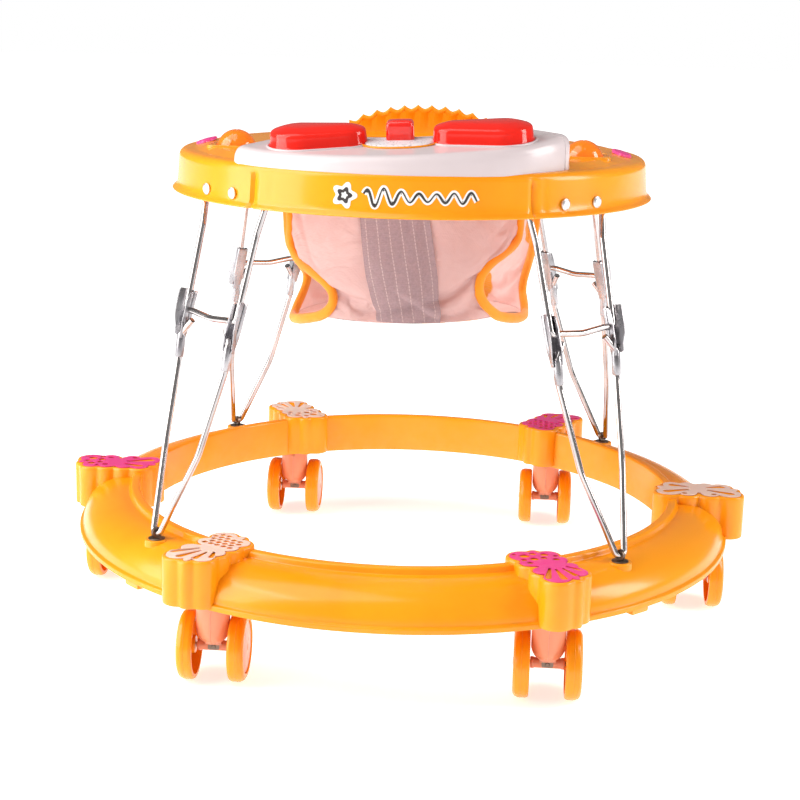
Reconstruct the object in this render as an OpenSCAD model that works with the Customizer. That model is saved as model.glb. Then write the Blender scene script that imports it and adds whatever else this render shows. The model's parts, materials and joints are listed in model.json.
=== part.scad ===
// Folding baby walker: a caster ring, four wire legs that fold at the knee, and a play tray with a seat.
// Millimetres. The floor is z = 0, the origin is under the middle of the ring, the front is -Y.

/* [Base ring] */
// Radius of the circle that the casters stand on
caster_r = 265; // [262:1:268]
// Outer radius of the ring's bottom lip
ring_outer_r = 291; // [288:1:296]
// Radius of the ring's inner wall
ring_inner_r = 238; // [234:1:240]
// Height of the ring's raised inner bead above the floor
ring_top_z = 108; // [107:0.5:108]
// Height of the ring's bottom edge above the floor
ring_bottom_z = 71; // [70:0.5:73]
// Height of the caster pods' tops above the floor
pod_top_z = 111; // [110:0.5:112]
// Wall of the plastic mouldings
wall = 2.5; // [2:0.1:3]

/* [Casters] */
// Wheel diameter
wheel_d = 56; // [52:1:58]
// Wheel width
wheel_w = 13; // [11:0.5:14]
// Distance between the middles of a caster's two wheels
wheel_gap = 41; // [40:0.5:44]
// Distance that the axle trails behind the swivel axis
trail = 6; // [4:0.5:8]
// Radius of the ball-shaped hub
hub_r = 13.5; // [12:0.5:13.5]
// Radius of the swivel stem
stem_r = 5; // [4:0.1:5]

/* [Legs] */
// Wire diameter
wire_d = 4.2; // [4:0.1:4.4]
// Radius at which the leg is hooked to the ring
foot_r = 264.3; // [263:0.1:265]
// Height of that pivot
foot_z = 108; // [107.5:0.1:109]
// Radius of the knee pivot
knee_r = 211.3; // [210:0.1:213]
// Height of the knee pivot
knee_z = 280.7; // [279:0.1:283]
// Radius of the pivot under the tray
head_r = 183; // [181:0.1:185]
// Height of the pivot under the tray
head_z = 388; // [386:0.1:389]
// How far an open bracket lets the leg's top bar float inwards
float_in = 15; // [13:0.5:15]
// How far an open bracket lets the leg's top bar float outwards
float_out = 9; // [8:0.5:9]

/* [Tray] */
// Outer radius of the skirt's bottom lip
tray_lip_r = 207.4; // [206:0.1:209]
// Height of the skirt's bottom edge
tray_bottom_z = 371.3; // [370:0.1:372]
// Height of the tray's deck
deck_z = 409.5; // [409:0.1:410]
// Radius of the opening for the child
hole_r = 112; // [110:0.5:114]
// Slope of the console's top
console_tilt = 7; // [6:0.5:8]
// How much the console's top leans sideways, its +X end up
console_roll = 3; // [0:0.5:3.5]
// Height of the console's top at its middle
console_z = 424; // [423:0.5:425]
// Travel of the push buttons
press = 2.5; // [2:0.1:2.8]

/* [Seat] */
// Radius of the seat bag at its top
bag_top_r = 106; // [104:0.5:106]
// Radius of the seat bag at its bottom
bag_bottom_r = 88; // [84:0.5:90]
// Height of the seat bag's bottom
bag_z = 262; // [258:0.5:268]
// Thickness of the seat cloth
cloth = 2.5; // [2:0.1:3]
// Radius of a leg hole
leg_hole_r = 27; // [26:0.5:28]

/* [Hidden] */
$fn = 64;

CASTER_AZ = [-30, 30, 90, 150, -150, -90];
LEG_AZ = [-45, 45, 135, -135];
SIDES = [-1, 1];

yellow = "#ffb423";
cream = "#f9dcd4";
pink = "#f2508f";
peach = "#ffc4a0";
steel = "#b9bcc2";
amber = "#ff9a1e";
red = "#e3231f";
cloth_white = "#f3dcd8";
orange = "#ff9500";

// Running clearance on the radius of a hinge or a shaft
run = 0.05;
// Gap between two mouldings that only lie against each other
gap = 0.3;
eps = 0.01;
far = 600;

// Places a child, drawn at the front, at an azimuth counted from the front towards +X
module at(az) rotate([0, 0, az]) children();

function unit(v) = v / norm(v);

collar = 0.1;
collar_d = 0.05;

// ---------- wires ----------

module rod(p, q, d) {
    v = q - p;
    translate(p)
        rotate([0, acos(v.z / norm(v)), atan2(v.y, v.x)])
            cylinder(d = d, h = norm(v), $fn = 24);
}

// A round bend between two directions at a corner, as part of a torus
module bend(a, corner, b, r, d) {
    u = unit(a - corner);
    w = unit(b - corner);
    half = acos(u * w) / 2;
    middle = corner + unit(u + w) * r / sin(half);
    start = unit(corner + u * r / tan(half) - middle);
    normal = unit(cross(start, corner + w * r / tan(half) - middle));
    side = cross(normal, start);
    multmatrix([
        [start.x, side.x, normal.x, middle.x],
        [start.y, side.y, normal.y, middle.y],
        [start.z, side.z, normal.z, middle.z],
        [0, 0, 0, 1]])
        rotate_extrude(angle = 180 - 2 * half, $fn = 96)
            translate([r, 0]) circle(d = d, $fn = 24);
}

// How far a bend of radius r reaches from its corner
function reach(a, corner, b, r) = r / tan(acos(unit(a - corner) * unit(b - corner)) / 2);

// A bent wire through corners, with one bend radius for each corner (0 at a free end).
// A thin collar joins each straight stretch to the next bend.
module wire(corners, radii, d, closed = false) {
    n = len(corners);
    function p(i) = corners[(i + n) % n];
    function cut(i) = radii[(i + n) % n] == 0 ? 0 : reach(p(i - 1), p(i), p(i + 1), radii[(i + n) % n]);
    for (i = [0 : closed ? n - 1 : n - 2]) {
        along = unit(p(i + 1) - p(i));
        first = p(i) + along * cut(i);
        last = p(i + 1) - along * cut(i + 1);
        rod(first, last, d);
        if (cut(i) > 0) rod(first - along * collar, first + along * collar, d + collar_d);
        if (cut(i + 1) > 0) rod(last - along * collar, last + along * collar, d + collar_d);
    }
    for (i = [0 : n - 1])
        if (radii[i] > 0) bend(p(i - 1), p(i), p(i + 1), radii[i], d);
}

// ---------- base ring ----------

slope_r = 252;
slope_z = 76;
slope_w = ring_outer_r - 3 - slope_r;
slope_h = 27;
step_z = slope_z + slope_h;

function slope(inset) = [for (t = [0 : 10 : 90])
    [slope_r + (slope_w - inset) * sin(t), slope_z + (slope_h - inset) * cos(t)]];
function reversed(list) = [for (i = [len(list) - 1 : -1 : 0]) list[i]];

module ring_section() {
    polygon(concat(
        [[ring_inner_r, ring_bottom_z], [ring_inner_r, ring_top_z - 1], [ring_inner_r + 1, ring_top_z],
            [ring_inner_r + 7, ring_top_z], [ring_inner_r + 8, ring_top_z - 1],
            [ring_inner_r + 9, step_z - 0.5], [ring_inner_r + 11, step_z]],
        slope(0),
        [[ring_outer_r, slope_z - 0.5], [ring_outer_r, ring_bottom_z],
            [ring_outer_r - wall, ring_bottom_z], [ring_outer_r - wall, slope_z - wall]],
        reversed(slope(wall)),
        [[ring_inner_r + 9, step_z - wall], [ring_inner_r + 7, ring_top_z - wall],
            [ring_inner_r + wall, ring_top_z - wall], [ring_inner_r + wall, ring_bottom_z]]));
}

// The lobes of a butterfly with its head towards -X and its wings along Y: place and radius
POD_LOBES = [[-11, 27, 13.5], [-14, 10, 11], [9, 22, 11.5], [10, 8, 10.5], [2, 33, 6]];

module pod_outline(inset) {
    for (side = SIDES)
        for (lobe = POD_LOBES)
            translate([lobe.x, side * lobe.y]) circle(r = lobe.z - inset);
    square([30 - 2 * inset, 52 - 2 * inset], center = true);
}

pod_bottom_z = 73;
stem_top_z = 102;
boss_r = 9;

module base_ring() color(yellow) {
    difference() {
        union() {
            rotate_extrude($fn = 180) ring_section();
            for (az = CASTER_AZ)
                at(az) translate([0, -caster_r, pod_bottom_z])
                    linear_extrude(pod_top_z - pod_bottom_z) pod_outline(0);
            for (az = LEG_AZ)
                at(az) {
                    translate([0, -foot_r, step_z - 8]) cylinder(r = 9.5, h = 7.6);
                    translate([-9, -ring_outer_r + wall, ring_bottom_z - 5]) stop_pad();
                }
        }
        for (az = CASTER_AZ)
            at(az) translate([0, -caster_r, pod_bottom_z - 5])
                linear_extrude(pod_top_z - wall - pod_bottom_z + 5) pod_outline(wall);
        for (az = LEG_AZ)
            at(az) {
                translate([0, -foot_r, step_z - 0.4]) cylinder(r = 9.5, h = 10);
                translate([0, -foot_r, step_z - 20]) cylinder(r = 2.3, h = 30);
            }
    }
    for (az = CASTER_AZ)
        at(az) translate([0, -caster_r, 0]) stem_boss();
}

// A wedge under the ring's lip that meets the floor before the ring does when a wheel drops off a step
module stop_pad() cube([18, 14, 9]);

module stem_boss() difference() {
    translate([0, 0, pod_bottom_z - 3]) cylinder(r = boss_r, h = pod_top_z - wall - pod_bottom_z + 3);
    translate([0, 0, pod_bottom_z - 4]) cylinder(r = stem_r + run, h = stem_top_z + 1 - pod_bottom_z + 4);
}

PLATE_LOBES = [[-11, 24, 10.5], [-15, 33, 5], [8, 20, 8.5], [0, 9, 6.5], [-5, 16, 6.5]];

module butterfly_plate() difference() {
    translate([0, 0, pod_top_z]) linear_extrude(2) {
        for (side = SIDES)
            for (lobe = PLATE_LOBES)
                translate([lobe.x, side * lobe.y]) circle(r = lobe.z);
        translate([-4, 0]) square([24, 8], center = true);
    }
    for (side = SIDES) {
        for (hole = [[-14, 24, 3], [-7, 27, 2.4], [-8, 19, 2.4], [7, 20, 3], [11, 15, 1.8]])
            translate([hole.x, side * hole.y, pod_top_z - 1]) cylinder(r = hole.z, h = 4, $fn = 32);
    }
}

module plates(list) for (i = list) at(CASTER_AZ[i]) translate([0, -caster_r, 0]) butterfly_plate();
module butterfly_plates_cream() color(cream) plates([0, 2, 4]);
module butterfly_plates_pink() color(pink) plates([1, 3, 5]);

// ---------- eye bolts ----------

eye_w = 2.6;
bolt_z = step_z - 14;

module eye_bolts() color(steel)
    for (az = LEG_AZ) at(az) translate([0, -foot_r, 0]) difference() {
        union() {
            translate([-eye_w / 2, 0, foot_z]) rotate([0, 90, 0]) cylinder(r = 4.4, h = eye_w);
            translate([0, 0, bolt_z]) cylinder(r = 1.3, h = foot_z - 2.5 - bolt_z);
        }
        translate([-eye_w, 0, foot_z]) rotate([0, 90, 0]) cylinder(d = wire_d + 2 * run, h = 2 * eye_w);
    }

module eye_washers() color("dimgray")
    for (az = LEG_AZ) at(az) translate([0, -foot_r, step_z - 0.4]) difference() {
        union() {
            cylinder(r = 5, h = 0.9);
            for (a = [0 : 45 : 315]) rotate([0, 0, a]) translate([5, 0, 0]) cylinder(r = 2.6, h = 0.7);
        }
        translate([0, 0, -1]) cylinder(r = 1.5, h = 3);
    }

module eye_bolt_nuts() color(steel)
    for (az = LEG_AZ) at(az) translate([0, -foot_r, step_z - 10.6]) difference() {
        cylinder(r = 4, h = 2.4, $fn = 6);
        translate([0, 0, -1]) cylinder(r = 1.3, h = 5);
    }

// ---------- casters ----------

axle_r = 2;
axle_len = wheel_gap + wheel_w - 6;
bar_r = 4.8;
bar_len = wheel_gap - wheel_w - 1;
hub_z = 45.5;

module swivel_at(i) at(CASTER_AZ[i]) translate([0, -caster_r, 0]) rotate([0, 0, -CASTER_AZ[i]]) children();

module caster_hub(i) color(peach) swivel_at(i) difference() {
    union() {
        translate([0, 0, hub_z]) sphere(r = hub_r);
        translate([0, 0, hub_z]) cylinder(r = hub_r, h = pod_bottom_z - 3 - gap - hub_z);
        translate([0, 0, hub_z + 5]) cylinder(r = stem_r, h = stem_top_z - hub_z - 5);
        translate([-bar_len / 2, trail, wheel_d / 2]) rotate([0, 90, 0]) cylinder(r = bar_r, h = bar_len);
        translate([-6, 0, wheel_d / 2 - 2]) cube([12, trail, 10]);
    }
    translate([-axle_len, trail, wheel_d / 2]) rotate([0, 90, 0]) cylinder(r = axle_r, h = 2 * axle_len);
    translate([-3, trail - 3, wheel_d / 2 - bar_r - 1]) cube([6, 6, bar_r]);
}

module caster_axle(i) color(steel) swivel_at(i)
    translate([-axle_len / 2, trail, wheel_d / 2]) rotate([0, 90, 0]) cylinder(r = axle_r, h = axle_len);

// A wheel seen along its axle: hub, thin web and rounded tread, open towards the caster's middle
module wheel(i, side) swivel_at(i) translate([side * wheel_gap / 2, trail, wheel_d / 2])
    rotate([0, 90 * side, 0]) {
        r = wheel_d / 2;
        h = wheel_w / 2;
        bore = axle_r + run;
        color(yellow) rotate_extrude($fn = 72) polygon([[bore, -h + 1], [7, -h + 1], [7, h - 5],
            [r - 4, h - 5], [r - 4, -h], [r - 1.5, -h], [r - 0.4, -h + 1.1], [r, -h + 3],
            [r, h - 4], [r - 1, h - 1.6], [r - 3.4, h - 0.4], [r - 6, h], [r - 7, h],
            [r - 7, h - 2.6], [bore, h - 2.6]]);
        color(peach) translate([0, 0, h - 2.5]) cylinder(r = r - 7.2, h = 2);
    }

// ---------- legs ----------

// Path of the lower wire: a V hooked through the eye, whose ends turn inwards above the clips
function lower_half(side) = [
    [side * 24.2, -213, 273.6],
    [side * crimp_top.x, crimp_top.y, crimp_top.z],
    [side * crimp_low.x, crimp_low.y, crimp_low.z],
    [side * 23.9, -240, 173],
    [side * 4.5, -foot_r, foot_z]];
lower_radii = [0, 4, 25, 60, 4];
// The straight stretch of the lower wire that a clip is crimped on
crimp_top = [33.6, -217.3, 262];
crimp_low = [33, -220.6, 240];

module lower_wire(i) color(steel) at(LEG_AZ[i])
    wire(concat(lower_half(-1), reversed(lower_half(1))), concat(lower_radii, reversed(lower_radii)), wire_d);

// Path of the upper wire: a closed loop from the knee bar up to the bar under the tray
knee_s = 35.2;
bend_z = 350;
function upper_r(z) = knee_r + (head_r - knee_r) * (z - knee_z) / (head_z - knee_z);
upper_half = [[37.7, bend_z, 25], [41, 370, 20], [41, head_z, 6]];
bow = 2.2;

module upper_wire(i) color(steel) at(LEG_AZ[i]) {
    right = [for (p = upper_half) [p.x, -upper_r(p.y), p.y]];
    left = [for (p = reversed(upper_half)) [-p.x, -upper_r(p.y), p.y]];
    bar = [[-knee_s, -knee_r, knee_z], [-24, -knee_r, knee_z], [0, -knee_r, knee_z - bow],
        [24, -knee_r, knee_z], [knee_s, -knee_r, knee_z]];
    radii = [for (p = upper_half) p.z];
    wire(concat(bar, right, left), concat([4, 30, 60, 30, 4], radii, reversed(radii)), wire_d, true);
}

// A clip: a tube crimped on the lower wire, and a channel that is open outwards with an ear each side
clip_t = 1.2;
clip_w = 9;
clip_s = 35.2;
lean = atan2(foot_r - knee_r, knee_z - foot_z);

module clip() {
    translate([0, -knee_r, knee_z]) rotate([-lean, 0, 0]) {
        for (side = SIDES)
            difference() {
                translate([side * (clip_w + clip_t) / 2 + clip_s - clip_t / 2, 0, 0]) union() {
                    translate([0, -1, 0]) rotate([0, 90, 0]) cylinder(r = 6.5, h = clip_t);
                    translate([0, -5.5, -8]) cube([clip_t, 9.5, 24]);
                    translate([0, -1, 12]) rotate([0, 90, 0]) cylinder(r = 5, h = clip_t);
                }
                if (side < 0)
                    rotate([0, 90, 0]) cylinder(d = wire_d + 2 * run, h = 60);
            }
        translate([clip_s - clip_w / 2, 2.8, -8]) cube([clip_w, 1.2, 24]);
        translate([clip_s - 4, 2.8, -25.5]) cube([6, 1.2, 18.5]);
    }
    crimp();
}

module crimp() {
    along = crimp_top - crimp_low;
    difference() {
        rod(crimp_low + along * 0.16, crimp_low + along * 0.88, wire_d + 2.6);
        rod(crimp_low, crimp_top, wire_d + 2 * collar_d);
    }
}

module clips(i) color(steel) at(LEG_AZ[i]) for (side = [0, 1]) mirror([side, 0, 0]) clip();

// ---------- tray ----------

skirt_t = 2.5;
shoulder_r = 6;
skirt_top_r = 201.5;
rivet_s = 17.7;
rivet_z = 381;

function shoulder(r) = [for (t = [0 : 15 : 90])
    [skirt_top_r - shoulder_r + r * cos(t), deck_z - 4 - shoulder_r + r * sin(t)]];

module tray_section() {
    inner = shoulder_r - skirt_t;
    polygon(concat(
        [[tray_lip_r - 1.5, tray_bottom_z], [tray_lip_r, tray_bottom_z + 0.6],
            [tray_lip_r - 1, tray_bottom_z + 2.2], [tray_lip_r - 4.4, tray_bottom_z + 5.5]],
        shoulder(shoulder_r),
        [[188, deck_z - 3.5], [176, deck_z], [hole_r, deck_z], [hole_r, deck_z - 24],
            [hole_r + skirt_t, deck_z - 24], [hole_r + skirt_t, deck_z - skirt_t],
            [175, deck_z - skirt_t], [187, deck_z - 3.5 - skirt_t]],
        reversed(shoulder(inner)),
        [[tray_lip_r - 4.4 - skirt_t, tray_bottom_z + 5.5], [tray_lip_r - 4.4 - skirt_t, tray_bottom_z]]));
}

ball_r = 17;
ball_x = 146;
ball_y = -50;
ball_z = 406;
well = 20;
notch_az = 32;

module tray_shell() color(yellow) {
    difference() {
        rotate_extrude($fn = 180) tray_section();
        for (side = SIDES) {
            at(side * notch_az) translate([0, -skirt_top_r - 4, tray_bottom_z - 1]) cylinder(r = 4, h = 60);
            translate([side * ball_x, ball_y, ball_z]) cube([2 * well, 2 * well, 40], center = true);
            pin_hole(side);
        }
        for (az = LEG_AZ)
            at(az)
                for (s = [-rivet_s, rivet_s])
                    translate([s, -skirt_top_r - 20, rivet_z]) rotate([-90, 0, 0]) cylinder(r = 2, h = 40);
        for (side = SIDES)
            translate([side * drum_x, drum_y, deck_z - 10]) cylinder(r = 5.5, h = 20);
        translate([0, button_y, deck_z - 10]) cylinder(r = 4.5, h = 20);
    }
    for (side = SIDES) ball_well(side);
    crest();
}

// The walls round a play ball, with the two holes that hold its pin
module ball_well(side) difference() {
    translate([side * ball_x, ball_y, deck_z - 14]) difference() {
        cube([2 * well + 5, 2 * well + 5, 28 - 2 * eps], center = true);
        cube([2 * well, 2 * well, 60], center = true);
    }
    pin_hole(side);
}

module pin_hole(side) translate([side * ball_x - well - 5, ball_y, ball_z]) rotate([0, 90, 0])
    cylinder(r = 2, h = 2 * well + 10);

// The toothed crest behind the opening
crest_half = 70;
crest_y = 150;
crest_t = 3;
teeth = 12;
crest_top_z = 436;
crest_end_z = 426;
tooth_h = 4;

function crest_arch(x) = crest_top_z - (crest_top_z - crest_end_z) * pow(abs(x) / crest_half, 2);
function tooth(x) = tooth_h * pow(abs(cos(180 * (x / (2 * crest_half / (teeth - 1)) + 0.5))), 0.7);

module crest() translate([0, crest_y + crest_t, 0]) rotate([90, 0, 0]) linear_extrude(crest_t)
    polygon(concat([[-crest_half, deck_z - eps]],
        [for (x = [-crest_half : crest_half / 44 : crest_half]) [x, crest_arch(x) - tooth(x)]],
        [[crest_half, deck_z - eps]]));

module leg_brackets() color(steel)
    for (i = [0 : 3]) at(LEG_AZ[i]) bracket(i == 0 ? 0 : float_in, i == 0 ? 0 : float_out);

// A plate riveted behind the skirt, with two lugs that carry the leg's top bar in a hole or a slot
module bracket(slack_in, slack_out) {
    plate_r = 196;
    difference() {
        union() {
            translate([-26, -plate_r, 374]) cube([52, 1.6, 22]);
            for (s = [-13, 9])
                translate([s, -plate_r, 382]) cube([4, 35, 13.5]);
        }
        for (s = [-rivet_s, rivet_s])
            translate([s, -plate_r - 5, rivet_z]) rotate([-90, 0, 0]) cylinder(r = 2, h = 10);
        translate([0, -head_r, head_z]) {
            translate([-30, -slack_out, 0]) rotate([0, 90, 0]) cylinder(d = wire_d + 2 * run, h = 60);
            translate([-30, slack_in, 0]) rotate([0, 90, 0]) cylinder(d = wire_d + 2 * run, h = 60);
            if (slack_in > 0)
                translate([-30, -slack_out, -wire_d / 2 - 0.6])
                    cube([60, slack_in + slack_out, wire_d + 1.2]);
        }
    }
}

module rivets() color("silver")
    for (az = LEG_AZ) at(az)
        for (s = [-rivet_s, rivet_s])
            translate([s, -skirt_front(s), rivet_z]) rotate([90, 0, 0]) {
                cylinder(r = 4.5, h = 1);
                translate([0, 0, 1]) cylinder(r1 = 4.5, r2 = 3, h = 0.9);
                translate([0, 0, -9]) cylinder(r = 1.9, h = 9);
            }
function skirt_front(s) = sqrt(pow(203.2, 2) - pow(abs(s) - 4.5, 2));

// ---------- console and its buttons ----------

drum_x = 66;
drum_y = -150;
drum_h = 13;
button_y = -139;
button_h = 14;
console_az = 46;
// How deep a button sits in the console at rest, and the depth of its pocket
sunk = 1.6;
pocket = sunk + press + 0.9;

// The plane of the console's top, from its middle
module on_console() translate([0, -145, console_z]) rotate([console_tilt, -console_roll, 0])
    children();

module drum_outline(side, grow) hull() {
    translate([side * 82, 0]) circle(r = 24 + grow, $fn = 48);
    translate([side * 43, 2]) circle(r = 15 + grow, $fn = 48);
}

module console() color("white") difference() {
    translate([0, 0, deck_z + 0.05]) cylinder(r1 = 197, r2 = 194, h = 30, $fn = 180);
    translate([0, 0, deck_z - 10]) cylinder(r = hole_r + 5, h = 60);
    on_console() translate([-far / 2, -far / 2, 0]) cube([far, far, 100]);
    for (side = SIDES)
        rotate([0, 0, side * console_az]) translate([side > 0 ? 0 : -far, -far, 0]) cube([far, far, far]);
    translate([-far / 2, 0, 0]) cube([far, far, far]);
    console_hollow();
    for (side = SIDES)
        on_console() translate([0, 0, -pocket]) linear_extrude(2 * pocket) drum_outline(side, 0.5);
    on_console() translate([-11.5, -2, -pocket]) cube([23, 17, 2 * pocket]);
    for (side = SIDES)
        translate([side * drum_x, drum_y, deck_z - 10]) cylinder(r = 5.5, h = 30);
    translate([0, button_y, deck_z - 10]) cylinder(r = 4.5, h = 30);
}

module console_hollow() difference() {
    translate([0, 0, deck_z - 1]) cylinder(r = 185, h = 12, $fn = 180);
    translate([0, 0, deck_z - 2]) cylinder(r = hole_r + 9, h = 20);
    on_console() translate([-far / 2, -far / 2, -pocket - 2]) cube([far, far, 100]);
    for (side = SIDES)
        rotate([0, 0, side * (console_az - 2)])
            translate([side > 0 ? 0 : -far, -far, 0]) cube([far, far, far]);
}

module drum_button(side) color(red) on_console() hull() {
    translate([0, 0, -sunk]) linear_extrude(drum_h + sunk - 2) drum_outline(side, 0);
    translate([0, 0, drum_h + 1]) linear_extrude(0.1) drum_outline(side, -3);
    translate([0, 0, drum_h + 3.5]) linear_extrude(0.1) drum_outline(side, -11);
}

module red_button() color(red) on_console() {
    translate([-11, -1.5, -sunk]) cube([22, 16, button_h + sunk]);
    translate([0, 0, button_h - eps]) hull() {
        translate([-11, -1.5, 0]) cube([22, 16, 0.1]);
        translate([-9, 0.5, 2]) cube([18, 12, 0.1]);
    }
}

// The sealed box with the batteries and the speaker, under the deck
module sound_box() color("gainsboro") difference() {
    translate([-45, -172, deck_z - 26]) cube([90, 50, 23]);
    translate([-30, -160, deck_z - 27]) cube([60, 26, 3]);
}

module play_ball(side) color(amber) translate([side * ball_x, ball_y, ball_z]) rotate([0, 90, 0])
    rotate_extrude($fn = 96) intersection() {
        circle(r = ball_r, $fn = 96);
        translate([1.5 + run, -ball_r]) square([ball_r, 2 * ball_r]);
    }

module play_ball_pins() color(steel)
    for (side = SIDES)
        translate([side * ball_x - 22.4, ball_y, ball_z]) rotate([0, 90, 0]) cylinder(r = 1.5, h = 44.8);

module side_badges() color(pink)
    for (side = SIDES)
        at(side * 88) translate([0, -180, deck_z - 0.5]) rotate([16, 0, 0]) {
            cylinder(r = 7, h = 2);
            translate([9, 0, 0]) cylinder(r = 6, h = 2);
            translate([-9, 0, 0]) cylinder(r = 6, h = 2);
        }

module front_sticker() color("white") rotate([0, 0, -107]) rotate_extrude(angle = 34, $fn = 180)
    polygon([[203.15, 380], [203.5, 380], [202.6, 396], [202.25, 396]]);

// ---------- seat ----------

function bag_r(z) = bag_bottom_r + (bag_top_r - bag_bottom_r) * (z - bag_z) / (deck_z - bag_z);
seat_az = 62;
leg_hole_z = 296;
binding_w = 4.5;
binding_t = 1.2;

module bag_wall() difference() {
    rotate_extrude($fn = 96) polygon([[bag_bottom_r, bag_z], [bag_top_r, deck_z - 3],
        [hole_r - gap, deck_z - 3], [hole_r - gap, deck_z - 1], [bag_top_r - cloth, deck_z - 1],
        [bag_bottom_r - cloth, bag_z]]);
    for (side = SIDES)
        at(side * seat_az) leg_hole(leg_hole_r + binding_w + 0.1);
}

module leg_hole(r) translate([0, 0, leg_hole_z]) rotate([90, 0, 0]) cylinder(r = r, h = 200);

module front_wedge(az) intersection_for (side = SIDES)
    rotate([0, 0, side * az]) translate([side > 0 ? -far : 0, -far, 0]) cube([far, 2 * far, far]);

module seat_front() color(cloth_white) intersection() {
    bag_wall();
    front_wedge(seat_az);
}

module seat_back() color(cloth_white) difference() {
    bag_wall();
    front_wedge(seat_az + 0.2);
}

module seat_bottom() color(cloth_white) translate([0, 0, bag_z - cloth - 0.1])
    cylinder(r = bag_bottom_r, h = cloth);

// Webbing down the outside of the seat's front
module seat_strap() color("slategray") {
    low = bag_z + 4;
    high = deck_z - 26;
    tilt = atan2(bag_r(high) - bag_r(low), high - low);
    translate([-27, -bag_r(low) - 0.6, low]) rotate([tilt, 0, 0])
        translate([0, -1.5, 0]) cube([54, 1.5, (high - low) / cos(tilt)]);
}

// The binding round each leg hole follows the bag and stands proud of it on both faces
module leg_hole_piping() color(orange) intersection() {
    rotate_extrude($fn = 96) polygon([
        [bag_bottom_r + binding_t, bag_z], [bag_top_r + binding_t, deck_z - 3],
        [bag_top_r - cloth - binding_t, deck_z - 3], [bag_bottom_r - cloth - binding_t, bag_z]]);
    for (side = SIDES)
        at(side * seat_az) difference() {
            leg_hole(leg_hole_r + binding_w);
            leg_hole(leg_hole_r);
        }
}

base_ring();
butterfly_plates_cream();
butterfly_plates_pink();
eye_bolts();
eye_washers();
eye_bolt_nuts();
for (i = [0 : 5]) {
    name = str("caster_", i + 1);
    caster_hub(i);
    caster_axle(i);
    wheel(i, -1);
    wheel(i, 1);
}
for (i = [0 : 3]) {
    name = str("leg_", i + 1);
    lower_wire(i);
    clips(i);
    upper_wire(i);
}
leg_brackets();
rivets();
tray_shell();
console();
drum_button(-1);  // drum_button_left
drum_button(1);  // drum_button_right
red_button();
sound_box();
play_ball(-1);  // play_ball_left
play_ball(1);  // play_ball_right
play_ball_pins();
side_badges();
front_sticker();
seat_front();
seat_back();
seat_bottom();
seat_strap();
leg_hole_piping();
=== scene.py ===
"""Folding baby walker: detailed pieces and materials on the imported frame. Metres, front is -Y."""
import json
import math
import random
import bmesh
import bpy
from mathutils import Matrix, Vector, geometry, noise
from mathutils.bvhtree import BVHTree

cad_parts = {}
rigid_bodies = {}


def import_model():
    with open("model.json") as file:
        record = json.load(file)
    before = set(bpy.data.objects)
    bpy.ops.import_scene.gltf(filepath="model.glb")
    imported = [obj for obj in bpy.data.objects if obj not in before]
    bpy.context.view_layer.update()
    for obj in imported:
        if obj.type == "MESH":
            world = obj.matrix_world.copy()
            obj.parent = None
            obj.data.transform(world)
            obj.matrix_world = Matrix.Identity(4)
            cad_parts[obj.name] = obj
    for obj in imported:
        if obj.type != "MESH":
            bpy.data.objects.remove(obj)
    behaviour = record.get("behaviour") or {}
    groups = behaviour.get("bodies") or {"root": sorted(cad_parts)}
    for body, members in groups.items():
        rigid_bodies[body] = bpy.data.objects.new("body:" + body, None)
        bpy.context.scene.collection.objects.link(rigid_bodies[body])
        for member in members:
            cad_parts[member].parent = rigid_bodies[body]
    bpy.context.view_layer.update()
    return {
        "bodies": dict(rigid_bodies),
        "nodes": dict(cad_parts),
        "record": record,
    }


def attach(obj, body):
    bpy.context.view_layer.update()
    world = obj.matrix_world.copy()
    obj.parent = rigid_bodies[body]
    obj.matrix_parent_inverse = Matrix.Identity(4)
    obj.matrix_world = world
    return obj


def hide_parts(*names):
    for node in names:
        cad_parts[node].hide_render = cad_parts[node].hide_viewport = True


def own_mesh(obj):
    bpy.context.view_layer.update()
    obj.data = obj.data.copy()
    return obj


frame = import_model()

MM = 0.001
MERGE = 1e-6
SIDES, WORDS = (-1, 1), ("left", "right")
CASTER_AZ = (-30, 30, 90, 150, -150, -90)
LEG_AZ = (-45, 45, 135, -135)
scene = bpy.context.scene


# ---------- camera ----------

CAMERA_PITCH, CAMERA_YAW, CAMERA_ROLL = 0.2355, -0.0038, 0.0256
CAMERA_TURN = 4.0
CAMERA_AT = (0, -1.4584, 0.5318)
CAMERA_LENS, SENSOR, VIEW_LIMIT = 74.85, 36, 60


def linked(name, data):
    """A new object in the scene."""
    o = bpy.data.objects.new(name, data)
    scene.collection.objects.link(o)
    return o


def rotation(angle, axis):
    """Rotation by an angle in degrees about an axis."""
    return Matrix.Rotation(math.radians(angle), 4, axis)


def make_camera():
    """Aims by pitch, yaw and roll, in radians, then turns the camera round the walker, in degrees."""
    pitch, yaw = CAMERA_PITCH, CAMERA_YAW
    forward = Vector((math.sin(yaw) * math.cos(pitch), math.cos(yaw) * math.cos(pitch), -math.sin(pitch)))
    right = forward.cross(Vector((0, 0, 1))).normalized()
    up = right.cross(forward)
    rolled_right = right * math.cos(CAMERA_ROLL) + up * math.sin(CAMERA_ROLL)
    rolled_up = up * math.cos(CAMERA_ROLL) - right * math.sin(CAMERA_ROLL)
    matrix = Matrix((rolled_right, rolled_up, -forward)).transposed().to_4x4()
    matrix.translation = CAMERA_AT
    data = bpy.data.cameras.new("camera")
    data.lens = CAMERA_LENS
    data.sensor_width = SENSOR
    data.clip_end = VIEW_LIMIT
    camera = linked("camera", data)
    camera.matrix_world = rotation(CAMERA_TURN, "Z") @ matrix
    scene.camera = camera


make_camera()


# ---------- small tools ----------

def place(az, radius=0.0, z=0.0):
    """Matrix that puts something drawn at the front, at -Y, at an azimuth counted towards +X."""
    return rotation(az, "Z") @ Matrix.Translation((0, -radius, z))


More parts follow.
